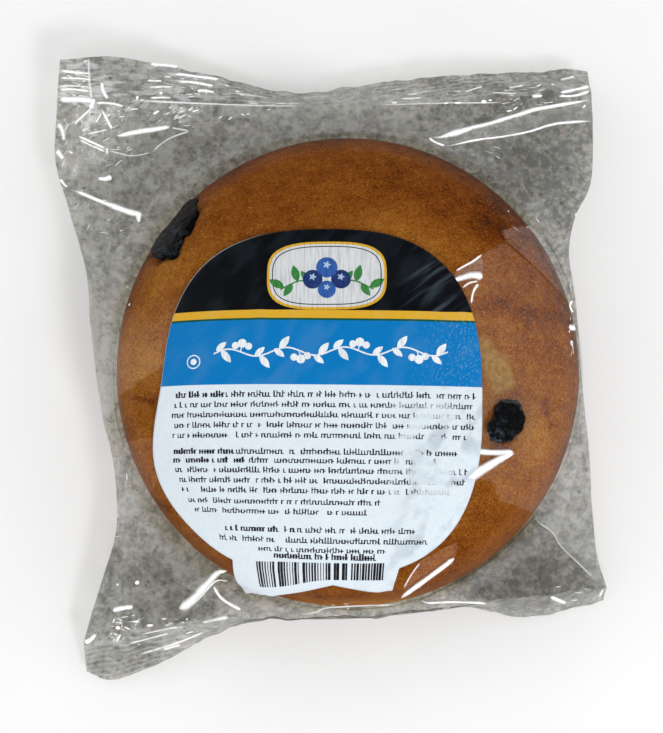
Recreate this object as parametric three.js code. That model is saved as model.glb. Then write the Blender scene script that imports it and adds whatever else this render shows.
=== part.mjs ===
// A large muffin sealed in a clear flow-wrap bag, with a round paper label stuck on top.
//
// Millimetres, +Z up. The origin is under the muffin, on the face that the pack rests on. +X is to
// the right of the label's print, and +Y is towards its upper edge.
//
// The bag is one solid: the film's outer shape, filled. Its upper and lower sheets are stretched
// over the muffin like membranes, between a wavy outline and the two crimped end seals.
import * as THREE from "three";

// ---- The muffin that gives the bag its form ----
const CAP_RADIUS = 57; // widest part of the baked cap, across the label's print
const LENGTH_RATIO = 1.03; // the muffin is a little longer along +Y than it is wide
const MUFFIN_SHIFT = 1.6; // the muffin's axis stands this far from the origin towards +Y
const MUFFIN_HEIGHT = 61;
const LIP_HEIGHT = 38; // height of the cap's widest line
const BASE_RADIUS = 36;
const BASE_ROUNDING = 9; // how far up the muffin's lower edge is rounded
const DOME_ROUNDNESS = 2.5; // exponent of the cap's outline: 2 is an ellipse, more is flatter on top
const CORE_HEIGHT = 30; // the crust is seen from this point on the axis when it pushes the film out

// ---- The film ----
const FILM_CLEARANCE = 0.4; // between the crust and the outer face of the film
const SHEET_THICKNESS = 0.8; // the two sheets together, along the flat seals and fold lines
const BODY_COLUMNS = 40; // steps across the bag
const BODY_ROWS = 36; // steps from one seal to the other
const SEAL_ROWS = 3; // steps across one end seal
const STRETCH_PASSES = 900; // rounds of relaxing the sheets
const FOLD_ROUNDING_PASSES = 6; // rounds of rounding the bag's long sides

// Where each end seal meets the bag, and its cut edge 12 mm further out, from left to right.
const UPPER_SEAL = {
  inner: [
    [-76.4, 76.6, 20], [-57, 76.6, 20.5], [-38, 76.1, 20], [-18, 75.8, 20], [4, 75.9, 20],
    [27, 76.6, 19.5], [41, 78.2, 18], [53, 80.7, 16.5], [65.3, 82.2, 15],
  ],
  cut: [
    [-75.6, 87.9, 22], [-62.2, 88.4, 23], [-47.9, 87.3, 19.5], [-33.9, 86, 14.5], [-19, 83.6, 10.5],
    [-2, 84.2, 10], [14.5, 86.2, 11], [31, 87.3, 12.5], [49, 89, 10.5], [65.6, 90.4, 8],
  ],
};
const LOWER_SEAL = {
  inner: [
    [-66.5, -63.4, 11], [-57.6, -61.5, 13], [-46.1, -59.5, 16], [-30, -58.3, 19.5], [0, -58.3, 20],
    [24, -56, 20], [38.2, -53.3, 17], [52.2, -51.6, 13], [65.8, -49.8, 11],
  ],
  cut: [
    [-66.6, -70.6, 3.5], [-61, -72.6, 3], [-51, -69.8, 4.5], [-43.8, -66.8, 7], [-33.6, -61.4, 8.5],
    [-20.9, -57.8, 8.5], [0.7, -57, 8.5], [26, -54.7, 8.5], [35, -55.2, 7.5], [44.5, -57, 5],
    [54.5, -55, 3.5], [66.2, -52.6, 2.5],
  ],
};

// The bag's long folded sides, from the lower seal to the upper one.
const LEFT_SIDE = [
  [-66.5, -63.4, 11], [-61.4, -46.7, 14], [-58, -35, 18.5], [-58.6, -20, 23.5], [-62.2, -4, 25],
  [-65, 14, 25], [-67, 30, 22.5], [-72.5, 48, 19], [-76.6, 61.6, 18], [-76.4, 76.6, 20],
];
const RIGHT_SIDE = [
  [65.8, -49.8, 11], [63, -42, 15], [61.4, -30, 20], [60.2, -14, 24], [59, 4, 25], [58.2, 20, 25],
  [57, 34, 23], [59.2, 45, 20], [63.6, 54, 17.5], [65, 64, 16], [65.3, 82.2, 15],
];

// Long creases that stand up from the upper sheet, as [from, to, half width, height].
const CREASES = [
  [[20, 68], [65, 80.5], 4.5, 1.8], // tuck that opens towards the upper right corner
  [[-58, 66], [-42, 70], 4, 1.2],
  [[-71, 53], [-54, 46], 4.5, 1.6], // left ear
  [[-46, -56], [-34, -48], 4, 1.4], // beside the label's tab
  [[20, -56], [33, -44], 4.5, 1.6], // lower right, along the cap
  [[44, -48], [58, -40], 4.5, 1.4],
];

// ---- The label ----
const LABEL_CENTRE = [-6.5, -11]; // where the middle of the round field touches the bag
const LABEL_HALF_WIDTH = 37.6;
const LABEL_HALF_HEIGHT = 41.4;
const LABEL_ROUNDNESS = 2.8; // exponent of its outline, a little squarer than an oval
const LABEL_BULGE = { degrees: -161, size: 0.115, spread: 20 }; // where the outline reaches out further
// The tab's outline from the label's middle, from its upper left end round to its upper right end.
const TAB_OUTLINE = [[-21.8, -36], [-24.9, -57.2], [-11, -48.2], [3, -43.8], [18.4, -46.9], [19.2, -36]];
const TAB_CORNERS = [TAB_OUTLINE[1], TAB_OUTLINE[4]]; // its two lower corners
const TAB_ROUNDING = { cut: 1.4, spread: 3 }; // how those corners are rounded
const LABEL_THICKNESS = 0.35;
const LABEL_GAP = 0.5; // between the paper and the film
const LABEL_SPOKES = 60;
const LABEL_RINGS = 8;
const RING_CROWDING = 1.6; // above 1 the rings stand closer together towards the edge
const EDGE_LIFT = 1.1; // how much further the stiff paper stands off at its edge
const PEEL_STEP = 0.5; // step of the walk that lays the flat label over the curved bag

const FILM = { color: 0xcfd0cc, roughness: 0.12, metalness: 0, transparent: true, opacity: 0.55 };
const PAPER = { color: 0xdbe6ec, roughness: 0.35, metalness: 0 };

// ---- The muffin's shape ----
function insideMuffin(radius, height) {
  if (height < 0) return false;
  if (height < LIP_HEIGHT) {
    const tucked = BASE_ROUNDING * (1 - Math.min(height / BASE_ROUNDING, 1)) ** 2;
    return radius < BASE_RADIUS + (CAP_RADIUS - BASE_RADIUS) * (height / LIP_HEIGHT) - tucked / 2;
  }
  const across = (radius / CAP_RADIUS) ** DOME_ROUNDNESS;
  const up = ((height - LIP_HEIGHT) / (MUFFIN_HEIGHT - LIP_HEIGHT)) ** 2;
  return across + up < 1;
}

// Distance from the core to the crust, for each half degree from straight down to straight up.
const REACH_STEPS = 360;
const REACH = Array.from({ length: REACH_STEPS + 1 }, (_, k) => {
  const angle = (k / REACH_STEPS - 0.5) * Math.PI;
  let near = 0;
  let far = 2 * CAP_RADIUS;
  for (let halving = 0; halving < 24; halving += 1) {
    const middle = (near + far) / 2;
    const isInside = insideMuffin(middle * Math.cos(angle), CORE_HEIGHT + middle * Math.sin(angle));
    if (isInside) near = middle;
    else far = middle;
  }
  return near;
});

function crustReach(angle) {
  const place = (angle / Math.PI + 0.5) * REACH_STEPS;
  const below = Math.min(Math.floor(place), REACH_STEPS - 1);
  return THREE.MathUtils.lerp(REACH[below], REACH[below + 1], place - below);
}

// Distance from the axis, with the muffin's greater length taken out.
function capRadius(point) {
  return Math.hypot(point.x, (point.y - MUFFIN_SHIFT) / LENGTH_RATIO);
}

// Moves a point of the film out of the muffin and up to the floor.
function clearOfMuffin(point) {
  const radius = capRadius(point);
  const rise = point.z - CORE_HEIGHT;
  const distance = Math.hypot(radius, rise);
  const least = crustReach(Math.atan2(rise, radius)) + FILM_CLEARANCE;
  if (distance < least) {
    const scale = least / distance;
    const y = MUFFIN_SHIFT + (point.y - MUFFIN_SHIFT) * scale;
    point.set(point.x * scale, y, CORE_HEIGHT + rise * scale);
  }
  point.z = Math.max(point.z, 0);
  return point;
}

// ---- The film's two sheets ----
function curveThrough(points, steps) {
  const vectors = points.map((p) => new THREE.Vector3(...p));
  return new THREE.CatmullRomCurve3(vectors, false, "catmullrom", 0.5).getSpacedPoints(steps);
}

const lines = {
  upperInner: curveThrough(UPPER_SEAL.inner, BODY_COLUMNS),
  upperCut: curveThrough(UPPER_SEAL.cut, BODY_COLUMNS),
  lowerInner: curveThrough(LOWER_SEAL.inner, BODY_COLUMNS),
  lowerCut: curveThrough(LOWER_SEAL.cut, BODY_COLUMNS),
  left: curveThrough(LEFT_SIDE, BODY_ROWS),
  right: curveThrough(RIGHT_SIDE, BODY_ROWS),
};

// The point of the flat surface that spans the four border lines (a Coons patch).
function spanned(column, row) {
  const u = column / BODY_COLUMNS;
  const v = row / BODY_ROWS;
  const point = new THREE.Vector3()
    .addScaledVector(lines.lowerInner[column], 1 - v)
    .addScaledVector(lines.upperInner[column], v)
    .addScaledVector(lines.left[row], 1 - u)
    .addScaledVector(lines.right[row], u);
  point.addScaledVector(lines.left[0], -(1 - u) * (1 - v));
  point.addScaledVector(lines.right[0], -u * (1 - v));
  point.addScaledVector(lines.left[BODY_ROWS], -(1 - u) * v);
  point.addScaledVector(lines.right[BODY_ROWS], -u * v);
  return point;
}

// Stretches a sheet between the borders and over the muffin, on the side that it starts from.
function stretchedSheet(startHeight) {
  let sheet = [];
  for (let row = 0; row <= BODY_ROWS; row += 1) {
    sheet.push([]);
    for (let column = 0; column <= BODY_COLUMNS; column += 1) {
      const point = spanned(column, row);
      const onBorder = row % BODY_ROWS === 0 || column % BODY_COLUMNS === 0;
      if (!onBorder && capRadius(point) < CAP_RADIUS) point.z = startHeight;
      sheet[row].push(point);
    }
  }
  for (let pass = 0; pass < STRETCH_PASSES; pass += 1) {
    sheet = sheet.map((points, row) =>
      points.map((point, column) => {
        if (row % BODY_ROWS === 0 || column % BODY_COLUMNS === 0) return point;
        const mean = new THREE.Vector3()
          .add(points[column - 1])
          .add(points[column + 1])
          .add(sheet[row - 1][column])
          .add(sheet[row + 1][column])
          .multiplyScalar(0.25);
        return clearOfMuffin(mean);
      }),
    );
  }
  return sheet;
}

// A direction across a seal's two sheets: the upper sheet lies on this side.
function sealNormal(inner, cut, column, outwards) {
  const before = inner[Math.max(column - 1, 0)];
  const after = inner[Math.min(column + 1, BODY_COLUMNS)];
  const along = new THREE.Vector3().subVectors(after, before);
  const out = new THREE.Vector3().subVectors(cut[column], inner[column]);
  return new THREE.Vector3().crossVectors(along, out).multiplyScalar(outwards).normalize();
}

// The rows of one end seal, from its inner line to its cut edge, on one side of the seal.
function sealRows(inner, cut, outwards, side) {
  return Array.from({ length: SEAL_ROWS + 1 }, (_, step) =>
    inner.map((start, column) =>
      new THREE.Vector3()
        .lerpVectors(start, cut[column], step / SEAL_ROWS)
        .addScaledVector(sealNormal(inner, cut, column, outwards), (side * SHEET_THICKNESS) / 2),
    ),
  );
}

// One whole sheet, from the lower cut edge to the upper one; side is 1 above and -1 below.
function wholeSheet(side) {
  const body = stretchedSheet(side > 0 ? MUFFIN_HEIGHT : 0);
  for (let row = 0; row <= BODY_ROWS; row += 1) {
    for (const column of [0, BODY_COLUMNS]) {
      body[row][column] = body[row][column].clone();
      body[row][column].z += (side * SHEET_THICKNESS) / 2;
    }
  }
  const lower = sealRows(lines.lowerInner, lines.lowerCut, -1, side);
  const upper = sealRows(lines.upperInner, lines.upperCut, 1, side);
  return [...lower.reverse(), ...body.slice(1, -1), ...upper];
}

// Rounds the long folded sides: most at the middle of the bag, and not at all at the seals.
function roundSides(upper, lower) {
  for (let pass = 0; pass < FOLD_ROUNDING_PASSES; pass += 1) {
    for (let row = SEAL_ROWS + 1; row < SEAL_ROWS + BODY_ROWS; row += 1) {
      const share = 0.5 * Math.sin((Math.PI * (row - SEAL_ROWS)) / BODY_ROWS) ** 2;
      for (const column of [0, BODY_COLUMNS]) {
        const next = column === 0 ? 1 : BODY_COLUMNS - 1;
        for (const [sheet, other] of [[upper, lower], [lower, upper]]) {
          const edge = sheet[row][column];
          const inward = sheet[row][next];
          edge.z = THREE.MathUtils.lerp(edge.z, (inward.z + other[row][column].z) / 2, share / 2);
          inward.x = THREE.MathUtils.lerp(inward.x, edge.x, share / 8);
        }
      }
    }
  }
}

// Raises the upper sheet along each crease, as a ridge that fades at both ends.
function addCreases(sheet) {
  for (const points of sheet) {
    for (const point of points) {
      for (const [from, to, halfWidth, height] of CREASES) {
        const line = new THREE.Vector2(to[0] - from[0], to[1] - from[1]);
        const place = new THREE.Vector2(point.x - from[0], point.y - from[1]);
        const along = place.dot(line) / line.lengthSq();
        const off = Math.abs(place.cross(line)) / line.length();
        if (along > 0 && along < 1 && off < halfWidth) {
          point.z += height * (1 - off / halfWidth) * Math.sin(Math.PI * along) ** 0.5;
        }
      }
    }
  }
}

// ---- Closed meshes from two grids of points that lie over each other ----
function closedGeometry(upper, lower) {
  const rows = upper.length;
  const columns = upper[0].length;
  const positions = [];
  for (const sheet of [upper, lower]) {
    for (const points of sheet) for (const p of points) positions.push(p.x, p.y, p.z);
  }
  const at = (layer, row, column) => layer * rows * columns + row * columns + column;
  const indices = [];
  const face = (a, b, c, d) => indices.push(a, b, c, a, c, d);
  for (let row = 0; row < rows - 1; row += 1) {
    for (let column = 0; column < columns - 1; column += 1) {
      const corners = [[row, column], [row, column + 1], [row + 1, column + 1], [row + 1, column]];
      face(...corners.map(([r, c]) => at(0, r, c)));
      face(...corners.reverse().map(([r, c]) => at(1, r, c)));
    }
  }
  const rim = [];
  for (let column = 0; column < columns - 1; column += 1) rim.push([0, column]);
  for (let row = 0; row < rows - 1; row += 1) rim.push([row, columns - 1]);
  for (let column = columns - 1; column > 0; column -= 1) rim.push([rows - 1, column]);
  for (let row = rows - 1; row > 0; row -= 1) rim.push([row, 0]);
  rim.forEach(([row, column], k) => {
    const [nextRow, nextColumn] = rim[(k + 1) % rim.length];
    face(at(1, row, column), at(1, nextRow, nextColumn), at(0, nextRow, nextColumn), at(0, row, column));
  });
  return indexedGeometry(positions, indices);
}

function indexedGeometry(positions, indices) {
  const geometry = new THREE.BufferGeometry();
  geometry.setAttribute("position", new THREE.Float32BufferAttribute(positions, 3));
  geometry.setIndex(indices);
  geometry.computeVertexNormals();
  return geometry;
}

function bagSheets() {
  const upper = wholeSheet(1);
  const lower = wholeSheet(-1);
  roundSides(upper, lower);
  addCreases(upper);
  return { upper, lower };
}

// ---- The label, laid over the bag ----
// Height of the upper sheet at a place in plan, from the facet that holds it.
function heightFinder(sheet) {
  const facets = [];
  for (let row = 0; row < sheet.length - 1; row += 1) {
    for (let column = 0; column < sheet[0].length - 1; column += 1) {
      const [a, b] = [sheet[row][column], sheet[row][column + 1]];
      const [c, d] = [sheet[row + 1][column + 1], sheet[row + 1][column]];
      facets.push(new THREE.Triangle(a, b, c), new THREE.Triangle(a, c, d));
    }
  }
  const flattened = facets.map(
    (f) => new THREE.Triangle(...[f.a, f.b, f.c].map((p) => new THREE.Vector3(p.x, p.y, 0))),
  );
  const weights = new THREE.Vector3();
  return (x, y) => {
    const place = new THREE.Vector3(x, y, 0);
    let highest = 0;
    flattened.forEach((flat, k) => {
      if (!flat.getBarycoord(place, weights)) return;
      if (Math.min(weights.x, weights.y, weights.z) < -1e-6) return;
      const { a, b, c } = facets[k];
      highest = Math.max(highest, a.z * weights.x + b.z * weights.y + c.z * weights.z);
    });
    return highest;
  };
}

// How far the flat label reaches from its middle in one direction: the round field or the tab.
function labelReach(angle) {
  const [x, y] = [Math.cos(angle), Math.sin(angle)];
  const across = Math.abs(x / LABEL_HALF_WIDTH) ** LABEL_ROUNDNESS;
  const up = Math.abs(y / LABEL_HALF_HEIGHT) ** LABEL_ROUNDNESS;
  const offBulge = degreesBetween(angle, THREE.MathUtils.degToRad(LABEL_BULGE.degrees));
  const bulge = 1 + LABEL_BULGE.size * Math.exp(-((offBulge / LABEL_BULGE.spread) ** 2));
  const field = (across + up) ** (-1 / LABEL_ROUNDNESS) * bulge;
  let tab = 0;
  for (let k = 0; k < TAB_OUTLINE.length - 1; k += 1) {
    const [ax, ay] = TAB_OUTLINE[k];
    const [bx, by] = [TAB_OUTLINE[k + 1][0] - ax, TAB_OUTLINE[k + 1][1] - ay];
    const facing = x * by - y * bx;
    const distance = (ax * by - ay * bx) / facing;
    const along = (ax * y - ay * x) / facing;
    if (distance > 0 && along >= 0 && along <= 1) tab = distance;
  }
  for (const [cx, cy] of TAB_CORNERS) {
    const off = degreesBetween(angle, Math.atan2(cy, cx));
    tab -= TAB_ROUNDING.cut * Math.exp(-((off / TAB_ROUNDING.spread) ** 2));
  }
  return Math.max(field, tab);
}

function degreesBetween(angle, other) {
  const turn = THREE.MathUtils.radToDeg(angle - other);
  return Math.abs(THREE.MathUtils.euclideanModulo(turn + 180, 360) - 180);
}

// Walks outwards over the bag from the label's middle, and gives the place at each path length.
function spokePlaces(angle, lengths, heightAt) {
  const [x, y] = [Math.cos(angle), Math.sin(angle)];
  const places = [];
  let plan = 0;
  let walked = 0;
  let height = heightAt(...LABEL_CENTRE);
  for (const length of lengths) {
    while (walked < length) {
      const next = heightAt(LABEL_CENTRE[0] + x * (plan + PEEL_STEP), LABEL_CENTRE[1] + y * (plan + PEEL_STEP));
      const stride = Math.hypot(PEEL_STEP, next - height);
      const share = Math.min(1, (length - walked) / stride);
      plan += PEEL_STEP * share;
      height += (next - height) * share;
      walked += stride * share;
      if (share < 1) break;
    }
    places.push(new THREE.Vector3(LABEL_CENTRE[0] + x * plan, LABEL_CENTRE[1] + y * plan, height));
  }
  return places;
}

// A surface normal from the bag's slope around a place.
function normalAt(place, heightAt) {
  const reach = 2;
  return new THREE.Vector3(
    heightAt(place.x - reach, place.y) - heightAt(place.x + reach, place.y),
    heightAt(place.x, place.y - reach) - heightAt(place.x, place.y + reach),
    2 * reach,
  ).normalize();
}

// How far out each ring stands, as a share of the label's reach.
const RING_SHARES = Array.from({ length: LABEL_RINGS }, (_, ring) => 1 - (1 - (ring + 1) / LABEL_RINGS) ** RING_CROWDING);

// Places on the label's edge that have a spoke of their own: where the tab meets the round field,
// its corners, and three places on its long left side, which bends over the cap's lip.
const LEFT_PLACES = [[-22.2, -38.4], [-23, -42.6], [-23.6, -47], [-24.2, -51.4]];
const SPOKE_PLACES = [...LEFT_PLACES, ...TAB_OUTLINE.slice(1, 5), [18.9, -38.6]];
const PLACE_ANGLES = SPOKE_PLACES.map(([x, y]) => Math.atan2(y, x));
const LEAST_TURN = 2.4; // degrees from an evenly spaced spoke to one of these
const EVEN_ANGLES = Array.from({ length: LABEL_SPOKES }, (_, k) => ((k + 0.5) / LABEL_SPOKES - 0.5) * 2 * Math.PI);
const SPOKE_ANGLES = EVEN_ANGLES.filter((even) =>
  PLACE_ANGLES.every((own) => degreesBetween(even, own) > LEAST_TURN),
)
  .concat(PLACE_ANGLES)
  .sort((a, b) => a - b);

function labelGeometry(heightAt) {
  const spokes = SPOKE_ANGLES.map((angle) => {
    const reach = labelReach(angle);
    return spokePlaces(angle, RING_SHARES.map((share) => reach * share), heightAt);
  });
  const middle = new THREE.Vector3(...LABEL_CENTRE, heightAt(...LABEL_CENTRE));
  const places = [middle, ...spokes.flat()];
  const positions = [];
  for (const layerLift of [LABEL_GAP + LABEL_THICKNESS, LABEL_GAP]) {
    places.forEach((place, k) => {
      const share = k === 0 ? 0 : RING_SHARES[(k - 1) % LABEL_RINGS];
      const lift = layerLift + EDGE_LIFT * share ** 3;
      const raised = place.clone().addScaledVector(normalAt(place, heightAt), lift);
      positions.push(raised.x, raised.y, raised.z);
    });
  }
  const at = (layer, spoke, ring) => {
    const base = layer * places.length;
    return ring < 0 ? base : base + 1 + (spoke % spokes.length) * LABEL_RINGS + ring;
  };
  const indices = [];
  for (let spoke = 0; spoke < spokes.length; spoke += 1) {
    indices.push(at(0, 0, -1), at(0, spoke, 0), at(0, spoke + 1, 0));
    indices.push(at(1, 0, -1), at(1, spoke + 1, 0), at(1, spoke, 0));
    for (let ring = 0; ring < LABEL_RINGS - 1; ring += 1) {
      const [a, b] = [at(0, spoke, ring), at(0, spoke, ring + 1)];
      const [c, d] = [at(0, spoke + 1, ring + 1), at(0, spoke + 1, ring)];
      indices.push(a, b, c, a, c, d);
      const [e, f] = [at(1, spoke, ring), at(1, spoke, ring + 1)];
      const [g, h] = [at(1, spoke + 1, ring + 1), at(1, spoke + 1, ring)];
      indices.push(e, g, f, e, h, g);
    }
    const last = LABEL_RINGS - 1;
    const [p, q] = [at(1, spoke, last), at(1, spoke + 1, last)];
    const [r, s] = [at(0, spoke + 1, last), at(0, spoke, last)];
    indices.push(p, q, r, p, r, s);
  }
  return indexedGeometry(positions, indices);
}

function namedMesh(name, geometry, finish) {
  const mesh = new THREE.Mesh(geometry, new THREE.MeshStandardMaterial(finish));
  mesh.name = name;
  return mesh;
}

const sheets = bagSheets();
const pack = new THREE.Group();
pack.name = "wrapped_muffin";
pack.add(namedMesh("bag", closedGeometry(sheets.upper, sheets.lower), FILM));
pack.add(namedMesh("label", labelGeometry(heightFinder(sheets.upper)), PAPER));

export default pack;
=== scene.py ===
"""A large berry muffin sealed in a clear flow-wrap bag, with a round paper label stuck on top.

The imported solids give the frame. The film bag with its muffin replaces the solid bag, and a
printed label replaces the plain one. Lengths inside the script are millimetres until a mesh is made.
"""

import math

import bmesh
import bpy
import numpy as np
from mathutils import Matrix, Vector
from mathutils.bvhtree import BVHTree


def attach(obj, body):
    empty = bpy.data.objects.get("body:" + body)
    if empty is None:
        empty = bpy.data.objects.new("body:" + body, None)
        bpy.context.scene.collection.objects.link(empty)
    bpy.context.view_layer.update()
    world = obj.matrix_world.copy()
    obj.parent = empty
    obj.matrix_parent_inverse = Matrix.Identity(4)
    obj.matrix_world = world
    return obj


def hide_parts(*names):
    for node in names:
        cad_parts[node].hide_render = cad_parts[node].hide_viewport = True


bl_info = {
    "name": "Wrapped Muffin",
    "version": (1, 0, 0),
    "blender": (4, 5, 0),
    "location": "View3D > Sidebar > Muffin",
    "description": "Dresses the solid pack as a muffin in a clear film bag with a printed label",
    "category": "Object",
}

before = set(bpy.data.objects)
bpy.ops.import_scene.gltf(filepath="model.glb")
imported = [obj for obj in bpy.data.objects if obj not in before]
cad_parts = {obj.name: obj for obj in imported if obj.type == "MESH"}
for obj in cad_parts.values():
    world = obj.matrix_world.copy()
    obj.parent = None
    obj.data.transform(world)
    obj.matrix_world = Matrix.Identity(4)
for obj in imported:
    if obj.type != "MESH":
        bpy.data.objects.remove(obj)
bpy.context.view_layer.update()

MM = 0.001
BODY = "root"
FAR_OFF = 1e9
FULL_TURN = 6.28
WHITE_LIGHT = (1, 1, 1, 1)
# Where most values of a noise texture lie.
NOISE_RANGE = (0.3, 0.7)

# ======== the muffin that fills the bag
CAP_RADIUS = 57.0
LENGTH_RATIO = 1.03
MUFFIN_SHIFT = 1.6
MUFFIN_HEIGHT = 61.0
LIP_HEIGHT = 38.0
BASE_RADIUS = 36.0
BASE_ROUNDING = 9.0
DOME_ROUNDNESS = 2.5
CORE_HEIGHT = 30.0

# ======== the film's border lines
UPPER_INNER = [
    (-76.4, 76.6, 20), (-57, 76.6, 20.5), (-38, 76.1, 20), (-18, 75.8, 20), (4, 75.9, 20),
    (27, 76.6, 19.5), (41, 78.2, 18), (53, 80.7, 16.5), (65.3, 82.2, 15),
]
UPPER_CUT = [
    (-75.6, 87.9, 22), (-62.2, 88.4, 23), (-47.9, 87.3, 19.5), (-33.9, 86, 14.5), (-19, 83.6, 10.5),
    (-2, 84.2, 10), (14.5, 86.2, 11), (31, 87.3, 12.5), (49, 89, 10.5), (65.6, 90.4, 8),
]
LOWER_INNER = [
    (-66.5, -63.4, 11), (-57.6, -61.5, 13), (-46.1, -59.5, 16), (-30, -58.3, 19.5), (0, -58.3, 20),
    (24, -56, 20), (38.2, -53.3, 17), (52.2, -51.6, 13), (65.8, -49.8, 11),
]
LOWER_CUT = [
    (-66.6, -70.6, 3.5), (-61, -72.6, 3), (-51, -69.8, 4.5), (-43.8, -66.8, 7), (-33.6, -61.4, 8.5),
    (-20.9, -57.8, 8.5), (0.7, -57, 8.5), (26, -54.7, 8.5), (35, -55.2, 7.5), (44.5, -57, 5),
    (54.5, -55, 3.5), (66.2, -52.6, 2.5),
]
LEFT_SIDE = [
    (-66.5, -63.4, 11), (-61.4, -46.7, 14), (-58, -35, 18.5), (-58.6, -20, 23.5), (-62.2, -4, 25),
    (-65, 14, 25), (-67, 30, 22.5), (-72.5, 48, 19), (-76.6, 61.6, 18), (-76.4, 76.6, 20),
]
RIGHT_SIDE = [
    (65.8, -49.8, 11), (63, -42, 15), (61.4, -30, 20), (60.2, -14, 24), (59, 4, 25), (58.2, 20, 25),
    (57, 34, 23), (59.2, 45, 20), (63.6, 54, 17.5), (65, 64, 16), (65.3, 82.2, 15),
]

COARSE_COLUMNS = 44
COARSE_ROWS = 38
# Passes of evening out for the coarse grid and for each finer one.
RELAX_PASSES = (1000, 260, 90)
# The folded sides are rounded over this many columns.
SIDE_REACH, SIDE_PASSES = 14, 60
# Folds and crumples grow to their full size over this many steps from the borders.
EDGE_STEPS = 10.0
# Crumples of both sheets, of the lower one and of the seals: (height, size, seed).
SHARED_CRUMPLES = ((1.5, 19.0, 3), (0.95, 8.5, 7), (0.42, 4.0, 11))
LOWER_CRUMPLES = ((1.2, 15.0, 41), (0.7, 6.5, 43))
SEAL_CRUMPLES = ((0.6, 6.0, 31), (0.25, 2.6, 32))
SEAL_ROWS = 34
SEAL_GAP = 0.12

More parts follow.
